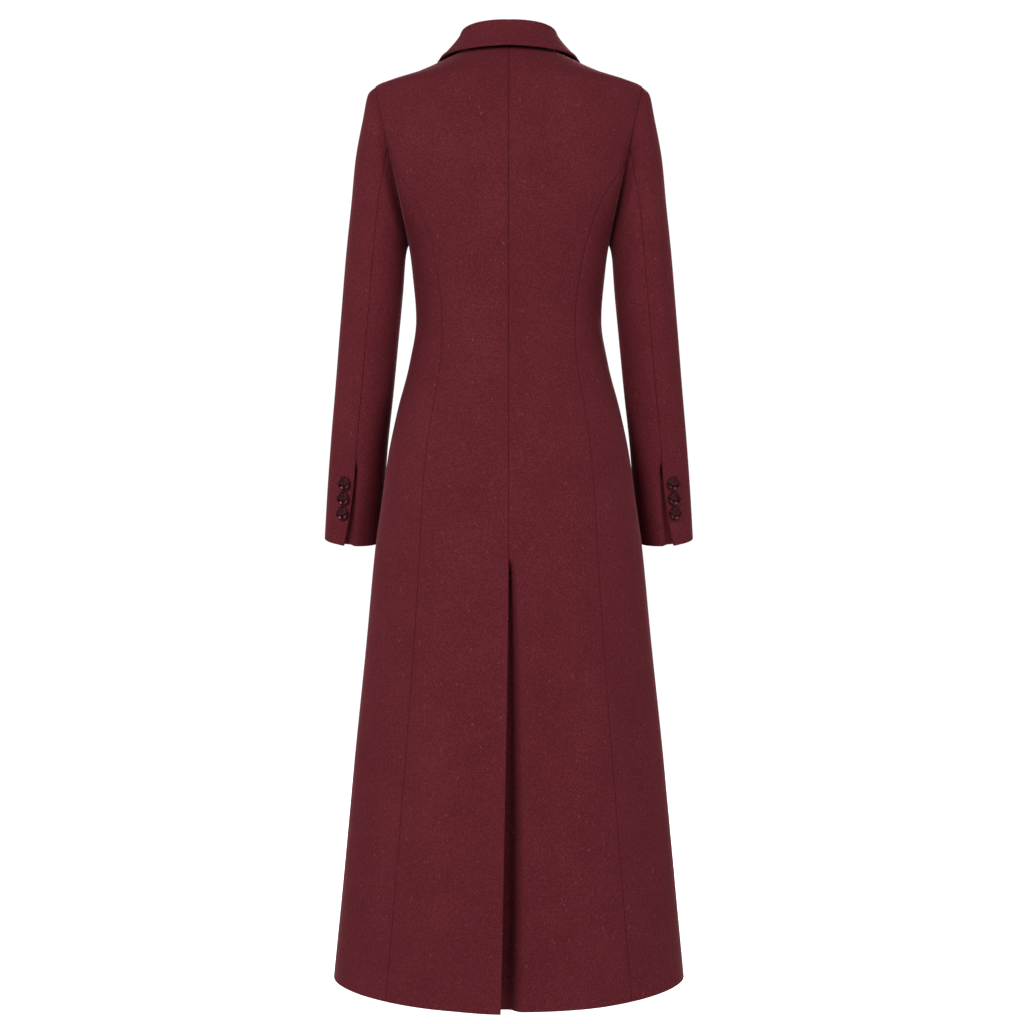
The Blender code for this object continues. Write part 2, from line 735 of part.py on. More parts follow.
BUTTON_SIDES = 16
BUTTON_SEAT = 0.0004
BUTTON_RIM = 0.0022
BUTTON_DISH = 0.0009
BUTTON_BEVEL = 0.0007


def button(name, radius, seat, normal):
    """A round button with a dished face, its back just clear of the cloth."""
    disc = bmesh.new()
    bmesh.ops.create_cone(disc, cap_ends=True, segments=BUTTON_SIDES, radius1=radius, radius2=radius,
                          depth=BUTTON_THICKNESS)
    bmesh.ops.translate(disc, verts=disc.verts[:], vec=(0.0, 0.0, 0.5 * BUTTON_THICKNESS + BUTTON_SEAT))
    top = max(disc.faces, key=lambda face: face.calc_center_median().z)
    rim = list(top.edges)
    bmesh.ops.bevel(disc, geom=rim, offset=BUTTON_BEVEL, segments=1, profile=0.5, affect="EDGES")
    top = max(disc.faces, key=lambda face: face.calc_center_median().z)
    bmesh.ops.inset_region(disc, faces=[top], thickness=BUTTON_RIM, depth=-BUTTON_DISH)
    mesh = bpy.data.meshes.new(name)
    disc.to_mesh(mesh)
    disc.free()
    piece = finish(name, mesh, BUTTON_RESIN)
    piece.location = seat
    piece.rotation_mode = "QUATERNION"
    piece.rotation_quaternion = normal.to_track_quat("Z", "Y")


for hand, side in (("left", 1), ("right", -1)):
    for number in range(CUFF_BUTTONS):
        place = ring_at(CUFF_BUTTON_TOP_Z - CUFF_BUTTON_PITCH * number)
        normal = sleeve_normal(CUFF_BUTTON_TURN, place)
        seat = sleeve_point(CUFF_BUTTON_TURN, place) + normal * upper_drape(CUFF_BUTTON_TURN, place)
        button("cuff_button_%s_%d" % (hand, number + 1), CUFF_BUTTON_RADIUS,
               mirrored(seat, side), mirrored(normal, side))

for number in range(FRONT_BUTTONS):
    z = FRONT_BUTTON_TOP_Z - FRONT_BUTTON_PITCH * number
    row = max(k for k, height in enumerate(front_levels) if height <= z)
    below, above = front_levels[row], front_levels[row + 1]
    seat = mix(body_point(math.pi, below), body_point(math.pi, above), (z - below) / (above - below))
    button("front_button_%d" % (number + 1), FRONT_BUTTON_RADIUS, seat, body_normal(math.pi, z))
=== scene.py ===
"""A long fitted wool coat, hollow as it is worn, seen from behind: its cloth, seams and buttons."""

import functools
import math

import bmesh
import bpy
import numpy as np
from mathutils import Matrix, Vector


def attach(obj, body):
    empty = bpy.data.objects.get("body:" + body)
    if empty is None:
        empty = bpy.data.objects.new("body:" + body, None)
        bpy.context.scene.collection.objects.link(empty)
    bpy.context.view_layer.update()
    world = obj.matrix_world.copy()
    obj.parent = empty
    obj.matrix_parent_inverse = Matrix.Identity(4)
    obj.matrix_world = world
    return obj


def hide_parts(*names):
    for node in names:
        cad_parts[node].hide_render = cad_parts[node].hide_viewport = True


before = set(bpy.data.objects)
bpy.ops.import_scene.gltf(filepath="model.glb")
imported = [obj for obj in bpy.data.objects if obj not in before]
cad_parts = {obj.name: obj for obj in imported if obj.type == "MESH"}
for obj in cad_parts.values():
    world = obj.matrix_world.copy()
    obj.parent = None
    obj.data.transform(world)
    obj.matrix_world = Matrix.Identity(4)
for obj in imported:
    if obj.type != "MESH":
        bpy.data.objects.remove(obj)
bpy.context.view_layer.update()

# The studio: a level camera behind the coat at the height of its middle, a wide pale floor below
# the hem, and broad soft lights, with the stronger one high on the left of the picture.
scene = bpy.context.scene
scene.view_settings.view_transform = "Standard"
lens = bpy.data.cameras.new("camera")
lens.lens = 72.8
lens.sensor_width = 36.0
camera = bpy.data.objects.new("camera", lens)
camera.location = (-0.0045, 2.9, -0.6426)
camera.rotation_euler = (math.radians(90.0), 0.0, math.radians(180.0))
scene.collection.objects.link(camera)
scene.camera = camera

WHITE = (1.0, 1.0, 1.0, 1.0)
WALL_SEEN = 1.03
WALL_LIGHT = 0.14
surroundings = bpy.data.worlds.new("studio")
surroundings.use_nodes = True
air = surroundings.node_tree
rays = air.nodes.new("ShaderNodeLightPath")
glow = air.nodes.new("ShaderNodeMapRange")
glow.inputs["To Min"].default_value = WALL_LIGHT
glow.inputs["To Max"].default_value = WALL_SEEN
air.links.new(rays.outputs["Is Camera Ray"], glow.inputs["Value"])
air.links.new(glow.outputs["Result"], air.nodes["Background"].inputs["Strength"])
air.nodes["Background"].inputs["Color"].default_value = WHITE
scene.world = surroundings

# Each light's place, the width of its disc and its power
LIGHTS = (
    ("key light", (1.5, 2.95, 0.75), 1.6, 62.0),
    ("fill light", (-2.2, 2.5, 0.65), 2.0, 37.0),
    ("left light", (3.0, -0.25, 0.2), 1.8, 21.5),
    ("right light", (-3.0, -0.25, 0.2), 1.8, 15.5),
    ("far light", (-0.4, -3.4, 0.4), 2.4, 66.0),
)
COAT_MIDDLE = Vector((0.0, 0.0, -0.6))
for name, place, width, power in LIGHTS:
    lamp = bpy.data.lights.new(name, "AREA")
    lamp.shape = "DISK"
    lamp.size = width
    lamp.energy = power
    light = bpy.data.objects.new(name, lamp)
    light.location = place
    light.rotation_mode = "QUATERNION"
    light.rotation_quaternion = (COAT_MIDDLE - Vector(place)).to_track_quat("-Z", "Y")
    scene.collection.objects.link(light)

FLOOR_Z = -1.46
FLOOR_RADIUS = 9.0
FLOOR_SIDES = 96
FLOOR_GREY = (0.80, 0.80, 0.80, 1.0)
floor_shape = bmesh.new()
bmesh.ops.create_circle(floor_shape, cap_ends=True, segments=FLOOR_SIDES, radius=FLOOR_RADIUS)
bmesh.ops.translate(floor_shape, verts=floor_shape.verts[:], vec=(0.0, 0.0, FLOOR_Z))
floor_mesh = bpy.data.meshes.new("floor")
floor_shape.to_mesh(floor_mesh)
floor_shape.free()
floor_paint = bpy.data.materials.new("floor paint")
floor_paint.use_nodes = True
paint = floor_paint.node_tree
pale = paint.nodes["Principled BSDF"]
pale.inputs["Base Color"].default_value = FLOOR_GREY
pale.inputs["Roughness"].default_value = 0.9
pale.inputs["Emission Color"].default_value = WHITE
seen = paint.nodes.new("ShaderNodeLightPath")
paint.links.new(seen.outputs["Is Camera Ray"], pale.inputs["Emission Strength"])
floor_mesh.materials.append(floor_paint)
floor = bpy.data.objects.new("floor", floor_mesh)
scene.collection.objects.link(floor)

# The centre-back panels: two long pieces of burgundy coating wool, sewn together down the centre back
# as far as the vent, where the left one laps over the right. Their hem is turned up inside, and the
# cloth sinks a little into each seam where it is pressed.


class Sizes:
    """A short table of sizes, read between its rows along a smooth curve."""

    def __init__(self, columns, rows):
        self.columns = columns
        self.rows = sorted(rows)

    def rise(self, column, index):
        return ((self.rows[index + 1][column] - self.rows[index][column])
                / (self.rows[index + 1][0] - self.rows[index][0]))

    def slope(self, column, index):
        last = len(self.rows) - 1
        if index == 0:
            return self.rise(column, 0)
        if index == last:
            return self.rise(column, last - 1)
        before = self.rise(column, index - 1)
        after = self.rise(column, index)
        if before * after <= 0.0:
            return 0.0
        return 2.0 * before * after / (before + after)

    @functools.lru_cache(maxsize=None)
    def read(self, name, key):
        rows = self.rows
        column = self.columns.index(name)
        key = min(max(key, rows[0][0]), rows[-1][0])
        index = next(k for k in range(len(rows) - 1) if key <= rows[k + 1][0])
        span = rows[index + 1][0] - rows[index][0]
        t = (key - rows[index][0]) / span
        ease = t * t * (3.0 - 2.0 * t)
        leave = self.slope(column, index) * span * t * (1.0 - t) ** 2
        arrive = self.slope(column, index + 1) * span * t * t * (1.0 - t)
        return rows[index][column] * (1.0 - ease) + rows[index + 1][column] * ease + leave - arrive


# Heights of the cut, down from the neck, and how far out the two ends of the armhole lie
NECK_Z = 0.0
SHOULDER_Z = -0.0476
UNDERARM_Z = -0.268
PRINCESS_Z = 0.5 * (SHOULDER_Z + UNDERARM_Z)
VENT_Z = -0.700
HEM_Z = -1.2867
SHOULDER_X = 0.187
UNDERARM_X = 0.1405

# Sections of the body, level by level. side_y is where each ring is widest. flatness shapes a ring
# across the middle of the back and front, and roundness at its sides; both are 2 for an ellipse.
BODY = Sizes(
    ("z", "half_width", "back", "front", "side_y", "flatness", "roundness"),
    (
        (0.0000, 0.0654, 0.066, 0.066, 0.000, 2.00, 2.00),
        (-0.0133, 0.0935, 0.079, 0.077, 0.000, 2.02, 1.80),
        (-0.0294, 0.1305, 0.091, 0.088, 0.000, 2.05, 1.60),
        (SHOULDER_Z, SHOULDER_X, 0.101, 0.097, 0.000, 2.08, 1.52),
        (-0.0560, 0.1935, 0.104, 0.100, 0.000, 2.08, 1.57),
        (-0.0750, 0.1970, 0.109, 0.106, 0.000, 2.10, 1.70),
        (-0.1000, 0.1954, 0.114, 0.113, 0.000, 2.12, 1.88),
        (-0.1320, 0.1878, 0.119, 0.121, 0.000, 2.15, 2.05),
        (-0.1970, 0.1690, 0.119, 0.133, 0.000, 2.20, 2.20),
        (-0.2350, 0.1545, 0.116, 0.135, 0.000, 2.18, 2.18),
        (UNDERARM_Z, UNDERARM_X, 0.111, 0.132, 0.000, 2.15, 2.15),
        (-0.3110, 0.1345, 0.103, 0.123, 0.001, 2.12, 2.12),
        (-0.3740, 0.1295, 0.097, 0.114, 0.003, 2.10, 2.10),
        (-0.4368, 0.1388, 0.106, 0.118, 0.006, 2.08, 2.08),
        (-0.4998, 0.1548, 0.119, 0.127, 0.009, 2.05, 2.05),
        (-0.5628, 0.1677, 0.131, 0.135, 0.012, 2.03, 2.03),
        (-0.6280, 0.1768, 0.139, 0.142, 0.013, 2.01, 2.01),
        (-0.6930, 0.1858, 0.146, 0.148, 0.014, 2.00, 2.00),
        (-0.8218, 0.1978, 0.158, 0.160, 0.015, 2.00, 2.00),
        (-0.9898, 0.2146, 0.173, 0.176, 0.015, 2.00, 2.00),
        (-1.1578, 0.2302, 0.187, 0.190, 0.015, 2.00, 2.00),
        (-1.2922, 0.2436, 0.197, 0.201, 0.015, 2.00, 2.00),
        (-1.3100, 0.2453, 0.199, 0.203, 0.015, 2.00, 2.00),
    ),
)

# Distance of the side-back seam from the centre back
PRINCESS = Sizes(
    ("z", "x"),
    (
        (-0.1850, 0.1470), (-0.2150, 0.1285), (-0.2400, 0.1180), (-0.2700, 0.1080), (-0.2900, 0.1030),
        (-0.3550, 0.0934), (-0.3940, 0.0912), (-0.4400, 0.0936), (-0.4970, 0.1025), (-0.5340, 0.1080),
        (-0.5860, 0.1140), (-0.6530, 0.1180), (-0.6970, 0.1200), (-1.1080, 0.1490), (-1.3100, 0.1650),
    ),
)

# Sewn pieces run past each other by a hair at their seam, so that no light shows through it
SEAM_GAP = -0.0004
HEM_DIP = 0.0075
HEM_DIP_RISE = 0.30
ANGLE_STEP = 0.004
HEIGHT_STEP = 0.002


def smooth(t):
    """Ease from 0 to 1."""
    t = min(max(t, 0.0), 1.0)
    return t * t * (3.0 - 2.0 * t)


def mix(start, end, t):
    return start + (end - start) * t


def body_point(angle, z):
    """Point on the outside of the coat; the angle runs from the centre back to the left side."""
    across, along = math.sin(angle), math.cos(angle)
    depth = BODY.read("back" if along >= 0.0 else "front", z)
    x = BODY.read("half_width", z) * abs(across) ** (2.0 / BODY.read("flatness", z))
    y = depth * abs(along) ** (2.0 / BODY.read("roundness", z))
    return Vector((math.copysign(x, across), BODY.read("side_y", z) + math.copysign(y, along), z))


def body_around(angle, z):
    return (body_point(angle + ANGLE_STEP, z) - body_point(angle - ANGLE_STEP, z)) / (2.0 * ANGLE_STEP)


def body_normal(angle, z):
    above = body_point(angle, min(z + HEIGHT_STEP, NECK_Z))
    below = body_point(angle, z - HEIGHT_STEP)
    return (above - below).cross(body_around(angle, z)).normalized()


def angle_at(x, z, facing):
    """Angle of the point that lies x to the left of the centre of the back (1) or the front (-1)."""
    share = min(abs(x) / BODY.read("half_width", z), 1.0)
    turn = math.copysign(math.asin(share ** (0.5 * BODY.read("flatness", z))), x)
    return turn if facing > 0 else math.pi - turn


def half_gap(angle, z):
    return 0.5 * SEAM_GAP / body_around(angle, z).length


def armhole_angle(z, facing):
    up = (z - UNDERARM_Z) / (SHOULDER_Z - UNDERARM_Z)
    return angle_at(mix(UNDERARM_X, SHOULDER_X, up), z, facing)


def outer_edge(z, facing):
    """Angle of the shoulder seam or the armhole, where the back and the fronts end."""
    if z < SHOULDER_Z:
        return armhole_angle(z, facing)
    return 0.5 * math.pi - facing * half_gap(0.5 * math.pi, z)


def hem_drop(angle, z):
    """How far the hem is let down towards the centre back."""
    return HEM_DIP * max(math.cos(angle), 0.0) ** 2 * smooth((HEM_Z + HEM_DIP_RISE - z) / HEM_DIP_RISE)


class Dye:
    """A socket in a material: sums on it add Math nodes, and node() adds any other node."""

    def __init__(self, tree, socket=None):
        self.tree = tree
        self.socket = socket

    def node(self, kind, output, settings, sockets):
        made = self.tree.nodes.new(kind)
        for name, value in settings.items():
            setattr(made, name, value)
        for name, value in sockets.items():
            if isinstance(value, Dye):
                self.tree.links.new(value.socket, made.inputs[name])
            else:
                made.inputs[name].default_value = value
        return Dye(self.tree, made.outputs[output])

    def sum(self, operation, first, second):
        return self.node("ShaderNodeMath", "Value", {"operation": operation}, {0: first, 1: second})

    def __add__(self, other):
        return self.sum("ADD", self, other)

    def __radd__(self, other):
        return self.sum("ADD", other, self)

    def __mul__(self, other):
        return self.sum("MULTIPLY", self, other)

    def __rmul__(self, other):
        return self.sum("MULTIPLY", other, self)

    def between(self, low, high):
        return self.node("ShaderNodeMapRange", "Result", {"clamp": True},
                         {"Value": self, "From Min": low, "From Max": high})

    def blend(self, first, second):
        return self.node("ShaderNodeMix", 2, {"data_type": "RGBA"}, {0: self, 6: first, 7: second})

    def grain(self, fineness, detail, roughness=0.5):
        """Noise on these coordinates, as fine as the number of its spots in a metre."""
        return self.node("ShaderNodeTexNoise", 0, {},
                         {"Vector": self, "Scale": fineness, "Detail": detail, "Roughness": roughness})

    def feed(self, shader, name):
        self.tree.links.new(self.socket, shader.inputs[name])


def new_finish(name):
    """A new material, its shader, and the coordinates of the piece that it covers."""
    material = bpy.data.materials.new(name)
    material.use_nodes = True
    tree = material.node_tree
    place = Dye(tree).node("ShaderNodeTexCoord", "Object", {}, {})
    return material, tree.nodes["Principled BSDF"], place


WOOL_DEEP = (0.096, 0.0125, 0.0180, 1.0)
WOOL_BODY = (0.124, 0.0180, 0.0250, 1.0)
WOOL_TIPS = (0.160, 0.0285, 0.0375, 1.0)
WOOL_FLECK = (0.300, 0.1000, 0.1150, 1.0)
# Painted shade: the darker wool colour laid along each seam line stands in for the shade in its groove;
# the thread's darker ply uses the same colour
WOOL_SEAM_SHADE_AND_THREAD_PLY = (0.070, 0.0090, 0.0130, 1.0)
WOOL_SHEEN = (1.0, 0.40, 0.46, 1.0)
NAP_LIE = (1.0, 1.0, 0.45)
NAP_FINENESS = 880.0
NAP_CRISPNESS = 0.60
FELT_FINENESS = 420.0
CLOUD_FINENESS = 16.0
FIBRE_FINENESS = 410.0
SPARSE_FINENESS = 70.0
FLECK_SHOWS = 0.35
NAP_STRENGTH = 0.35
NAP_HEIGHT = 0.0010


def wool_cloth():
    """Felted coating wool: a short nap that lies downwards, fine mottling and a few pale fibres."""
    material, shader, place = new_finish("burgundy wool")
    lie = place.node("ShaderNodeMapping", "Vector", {}, {"Vector": place, "Scale": NAP_LIE})
    nap = lie.grain(NAP_FINENESS, 2.0, NAP_CRISPNESS)
    felt = place.grain(FELT_FINENESS, 2.0)
    cloud = place.grain(CLOUD_FINENESS, 2.0)
    fibre = lie.grain(FIBRE_FINENESS, 0.0)
    sparse = place.grain(SPARSE_FINENESS, 1.0)
    tone = 0.50 * nap + 0.36 * felt + 0.14 * cloud
    ground = tone.between(0.36, 0.52).blend(WOOL_DEEP, WOOL_BODY)
    ground = tone.between(0.50, 0.66).blend(ground, WOOL_TIPS)
    fleck = fibre.between(0.74, 0.80) * sparse.between(0.52, 0.62)
    ground = (FLECK_SHOWS * fleck).blend(ground, WOOL_FLECK)
    # Painted shade: the seam attribute darkens the wool along each seam line, standing in for the shade
    # in the seam's groove
    seam = place.node("ShaderNodeAttribute", "Fac", {"attribute_name": "seam"}, {})
    seam.blend(ground, WOOL_SEAM_SHADE_AND_THREAD_PLY).feed(shader, "Base Color")
    height = 0.7 * nap + 0.3 * felt
    relief = place.node("ShaderNodeBump", "Normal", {},
                        {"Height": height, "Strength": NAP_STRENGTH, "Distance": NAP_HEIGHT})
    relief.feed(shader, "Normal")
    shader.inputs["Roughness"].default_value = 0.95
    shader.inputs["Specular IOR Level"].default_value = 0.06
    shader.inputs["Sheen Weight"].default_value = 0.50
    shader.inputs["Sheen Roughness"].default_value = 0.25
    shader.inputs["Sheen Tint"].default_value = WOOL_SHEEN
    return material


wool = wool_cloth()

CLOTH = 0.0025
EDGE_STEPS = (0.0, 0.0004, 0.0009, 0.0016, 0.0026, 0.0040, 0.0060)
EDGE_ROUND = 0.0011
EDGE_LEAST = 0.25
SEAM_SINK = 0.0010
SEAM_TURN = 0.0048
# Width of the band of painted shade along each seam
SEAM_SHADE_WIDTH = 0.0010
ARMHOLE_SINK = 0.034
ARMHOLE_SINK_TOP_Z = -0.090
BODY_SINK_WIDTH = 0.009


def steps(length, count):
    """Distances across a piece: close together at both edges, even between them."""
    shrink = min(1.0, length / (4.0 * EDGE_STEPS[-1]))
    edge = [step * shrink for step in EDGE_STEPS]
    inner = [mix(edge[-1], length - edge[-1], k / count) for k in range(1, count)]
    return edge + inner + [length - step for step in reversed(edge)]


def armhole_sink(seam_angle, seam_z, spread):
    """How the cloth is drawn in under the arm, at a spread from a place on the armhole seam."""
    low = smooth((ARMHOLE_SINK_TOP_Z - seam_z) / (ARMHOLE_SINK_TOP_Z - UNDERARM_Z))
    depth = ARMHOLE_SINK * low * smooth(1.0 - spread)
    return Vector((0.0, body_normal(seam_angle, seam_z).y * depth, 0.0)) if depth > 0.0 else Vector()


def body_sink(angle, z):
    """How far the back or a front is drawn in beside the armhole."""
    seam_z = min(max(z, UNDERARM_Z), SHOULDER_Z)
    seam_angle = armhole_angle(seam_z, 1 if math.cos(angle) >= 0.0 else -1)
    away = math.hypot((angle - seam_angle) * body_around(angle, z).length, z - seam_z)
    return armhole_sink(seam_angle, seam_z, away / BODY_SINK_WIDTH)


def cloth_sheet(name, side, outside, normals, from_edge, sewn, extra=0.0):
    """A closed sheet of cloth from the places and normals of its outside, row by row.

    from_edge is the distance to the nearest edge, where the cloth rounds off, and sewn is how far
    each place is drawn into a seam, 1 at a plain one; the band nearest 1 is also coloured darker, as
    painted shade along the seam. extra is more thickness on the inside.
    """
    rows, columns = outside.shape[0] - 1, outside.shape[1] - 1
    rounding = np.sqrt(1.0 - (1.0 - np.clip(from_edge / EDGE_ROUND, 0.0, 1.0)) ** 2)
    half = 0.5 * CLOTH * (EDGE_LEAST + (1.0 - EDGE_LEAST) * rounding)
    middle = outside - normals * (0.5 * CLOTH + SEAM_SINK * sewn ** 2)[..., None]
    faces = (middle + normals * half[..., None], middle - normals * (half + extra)[..., None])
    # The seam attribute is painted shade: a narrow band along each seam where the wool is coloured
    # darker
    line = np.clip((sewn - (1.0 - SEAM_SHADE_WIDTH / SEAM_TURN)) * SEAM_TURN / SEAM_SHADE_WIDTH, 0.0, 1.0)
    sheet = bmesh.new()
    bmesh.ops.create_grid(sheet, x_segments=columns, y_segments=rows, size=0.5)
    seam = sheet.verts.layers.float.new("seam")
    face_side = sheet.verts[:]
    made = bmesh.ops.extrude_face_region(sheet, geom=sheet.faces[:], use_keep_orig=True)
    back_side = [part for part in made["geom"] if isinstance(part, bmesh.types.BMVert)]
    for points, places in ((face_side, faces[0]), (back_side, faces[1])):
        for point in points:
            row = round((point.co.y + 0.5) * rows)
            column = round((point.co.x + 0.5) * columns)
            x, y, z = places[row, column]
            point[seam] = line[row, column]
            point.co = (side * x, y, z)
    bmesh.ops.recalc_face_normals(sheet, faces=sheet.faces[:])
    mesh = bpy.data.meshes.new(name)
    sheet.to_mesh(mesh)
    sheet.free()
    mesh.shade_smooth()
    mesh.materials.append(wool)
    piece = bpy.data.objects.new(name + "_cloth", mesh)
    scene.collection.objects.link(piece)
    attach(piece, "root")
    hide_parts(name)
    return piece


CREASE_REACH = 2.6
CREASE_FADE = 2.0
CREASE_END = 0.25

# Soft creases of the body: two ends as a turn from the centre back in degrees and a height, then
# the width and the height of the ridge, or the depth of the trough
BODY_CREASES = (
    (14.0, -0.100, 34.0, -0.235, 0.022, -0.0012), (-12.0, -0.090, -36.0, -0.225, 0.024, -0.0013),
    (28.0, -0.330, 52.0, -0.368, 0.012, -0.0012), (-24.0, -0.345, -50.0, -0.362, 0.012, -0.0014),
    (8.0, -0.420, 30.0, -0.395, 0.016, -0.0008), (-60.0, -0.330, -84.0, -0.395, 0.013, -0.0016),
    (58.0, -0.345, 82.0, -0.400, 0.013, -0.0014), (22.0, -0.640, 26.0, -1.310, 0.030, 0.0022),
    (-26.0, -0.600, -30.0, -1.310, 0.034, 0.0022), (44.0, -0.700, 47.0, -1.310, 0.030, -0.0024),
    (-50.0, -0.640, -54.0, -1.310, 0.032, -0.0026), (72.0, -0.800, 75.0, -1.310, 0.032, 0.0022),
    (-76.0, -0.760, -80.0, -1.310, 0.034, 0.0024), (112.0, -0.720, 116.0, -1.310, 0.034, -0.0026),
    (-110.0, -0.760, -114.0, -1.310, 0.034, -0.0024), (140.0, -0.700, 143.0, -1.310, 0.036, 0.0022),
    (-142.0, -0.740, -146.0, -1.310, 0.036, 0.0024), (120.0, -0.350, 146.0, -0.372, 0.013, -0.0014),
    (-118.0, -0.345, -148.0, -0.368, 0.013, -0.0014),
)


def crease(table, turn, z, reach):
    """Height of the creases at a turn and a height, where reach is the distance from the middle."""
    height = 0.0
    for turn_a, z_a, turn_b, z_b, width, rise in table:
        start = Vector((math.radians(turn_a) * reach, z_a))
        run = Vector((math.radians(turn_b) * reach, z_b)) - start
        place = Vector((turn * reach, z)) - start
        along = min(max(place.dot(run) / run.length_squared, 0.0), 1.0)
        away = (place - run * along).length / width
        if away < CREASE_REACH:
            fade = smooth(CREASE_FADE * min(along, 1.0 - along) + CREASE_END)
            height += rise * math.exp(-away * away) * fade
    return height


# Levels where an edge of a panel turns, at the shoulder, the princess seam's top and the underarm
CUT_STEPS = (0.0, 0.0006, 0.0015, 0.003, 0.005)
ABOVE_SHOULDER = 0.002
CUT_LEVELS = [SHOULDER_Z + ABOVE_SHOULDER] + [SHOULDER_Z - step for step in CUT_STEPS]
CUT_LEVELS += [PRINCESS_Z] + [UNDERARM_Z + step for step in CUT_STEPS]
BODY_ROWS = 150


def body_heights(bottom, top, more=()):
    """Heights of a panel's rows, closer together where its edges turn."""
    even = {bottom + step for step in steps(top - bottom, BODY_ROWS)}
    return sorted(even.union(level for level in (*CUT_LEVELS, *more) if bottom < level < top))


HEM_FOLD = 0.040
HEM_FOLD_THICKNESS = 0.0014
HEM_FOLD_STEP = 0.004


def turned_hem(up):
    return HEM_FOLD_THICKNESS * smooth((HEM_FOLD - up) / HEM_FOLD_STEP)


def in_rows(count, *lists):
    return [np.array(values).reshape(count, -1, *np.shape(values[0])) for values in lists]


def body_piece(name, side, heights, columns, near, far, drape, near_sewn, far_sewn):
    """A panel of the body between two edges given as angles, on the left (1) or the right (-1)."""
    bottom, top = heights[0], heights[-1]
    outside, normals, from_edge, sewn, extra = [], [], [], [], []
    for level in heights:
        start, end = near(level), far(level)
        width = abs(end - start) * body_around(0.5 * (start + end), level).length
        for step in steps(width, columns):
            angle = mix(start, end, step / width)
            z = level - hem_drop(angle, level)
            point = body_point(angle, z)
            normal = body_normal(angle, z)
            reach = math.hypot(point.x, point.y)
            lift = drape(point.x, z) + crease(BODY_CREASES, side * angle, z, reach)
            outside.append(point + normal * lift - body_sink(angle, z))
            normals.append(normal)
            gaps = (step, width - step, level - bottom, top - level)
            from_edge.append(min(gaps))
            pulls = (near_sewn(level) * (1.0 - step / SEAM_TURN),
                     far_sewn(level) * (1.0 - (width - step) / SEAM_TURN))
            sewn.append(max(0.0, *pulls))
            extra.append(turned_hem(level - bottom))
    return cloth_sheet(name, side, *in_rows(len(heights), outside, normals, from_edge, sewn, extra))


VENT_SETTLE = 0.020
VENT_TURN = 0.040
FLAP_SWING = 0.0100
FLAP_EASE = 1.3
FLAP_LIFT = 0.010
FLAP_SPREAD = 0.070
UNDERLAP = 0.075
UNDERLAP_TOP_DIP = 0.012
UNDERLAP_HEM_DIP = 0.026
UNDERLAP_TOP_SPREAD = 0.007
UNDERLAP_HEM_SPREAD = 0.018
UNDERLAP_BULGE = 0.0042
UNDERLAP_HANG = 0.012
UNDERLAP_HANG_SPREAD = 0.130
CENTRE_PULL = 0.93
VENT_FADE = 0.040
ARMHOLE_PULL = 1.5


def vent_opening(z):
    """How far down the vent a height lies, 0 at its top and 1 at the hem."""
    return max(0.0, (VENT_Z - z) / (VENT_Z - HEM_Z))


def princess_angle(z):
    start = PRINCESS.rows[-1]
    if z <= start[0]:
        return angle_at(PRINCESS.read("x", z), z, 1)
    top = body_point(armhole_angle(PRINCESS_Z, 1), PRINCESS_Z).x
    return angle_at(mix(top, start[1], (PRINCESS_Z - z) / (PRINCESS_Z - start[0])), z, 1)


def back_outer(z):
    if z >= PRINCESS_Z:
        return outer_edge(z, 1)
    angle = princess_angle(z)
    return angle - half_gap(angle, z)


def flap_swing(z):
    return FLAP_SWING * vent_opening(z) ** FLAP_EASE


def flap_edge(z):
    return angle_at(flap_swing(z) + 0.5 * SEAM_GAP, z, 1)


def flap_drape(x, z):
    beside = (x - flap_swing(z)) / FLAP_SPREAD
    return FLAP_LIFT * vent_opening(z) * smooth(1.0 - beside)


def underlap_edge(z):
    turned = smooth((VENT_Z - VENT_SETTLE - z) / VENT_TURN)
    return angle_at(mix(0.5 * SEAM_GAP, -UNDERLAP, turned), z, 1)


def underlap_drape(x, z):
    """How far the underlap lies behind the back's surface; its fold bulges most halfway down."""
    opening = vent_opening(z)
    dip = mix(UNDERLAP_TOP_DIP, UNDERLAP_HEM_DIP, opening) * smooth((VENT_Z - z) / VENT_SETTLE)
    spread = mix(UNDERLAP_TOP_SPREAD, UNDERLAP_HEM_SPREAD, math.sqrt(opening))
    fold = UNDERLAP_BULGE * 4.0 * opening * max(1.0 - opening, 0.0)
    hang = UNDERLAP_HANG * opening * smooth(1.0 - x / UNDERLAP_HANG_SPREAD)
    return -dip * smooth(1.0 - (x - fold) / spread) - hang


def above_vent(z):
    """Pull of the centre-back seam, which ends at the vent."""
    return CENTRE_PULL * smooth((z - VENT_Z) / VENT_FADE + 1.0)


def armhole_pull(low):
    """Pull on an edge that is the armhole seam from the shoulder down to one height."""
    return lambda z: ARMHOLE_PULL if low < z < SHOULDER_Z else 1.0


BACK_COLUMNS = 30
LAPPED_BACK_COLUMNS = 60
VENT_ROW = 0.0014
VENT_ROWS = 54
VENT_LEVELS = [VENT_Z - VENT_ROW * row for row in range(VENT_ROWS)]
left_back = body_piece("back_left", 1, body_heights(HEM_Z, NECK_Z), BACK_COLUMNS, flap_edge, back_outer,
                       flap_drape, above_vent, armhole_pull(PRINCESS_Z))
right_back = body_piece("back_right", -1, body_heights(HEM_Z, NECK_Z, VENT_LEVELS), LAPPED_BACK_COLUMNS,
                        underlap_edge, back_outer, underlap_drape, above_vent, armhole_pull(PRINCESS_Z))

# The side-back panels: shaped pieces of the same wool that run out to a point at the armhole, sewn
# to the backs along the princess seams and to the fronts along the side seams.
SIDE_SEAM = math.radians(97.0)
SIDE_SETTLE = 0.05
SIDE_COLUMNS = 22
SIDE_TIP = 0.0012
HANDS = (("left", 1), ("right", -1))


def side_seam(z):
    return mix(0.5 * math.pi, SIDE_SEAM, smooth((UNDERARM_Z - z) / SIDE_SETTLE))


def side_back_inner(z):
    angle = princess_angle(z)
    return angle + half_gap(angle, z)


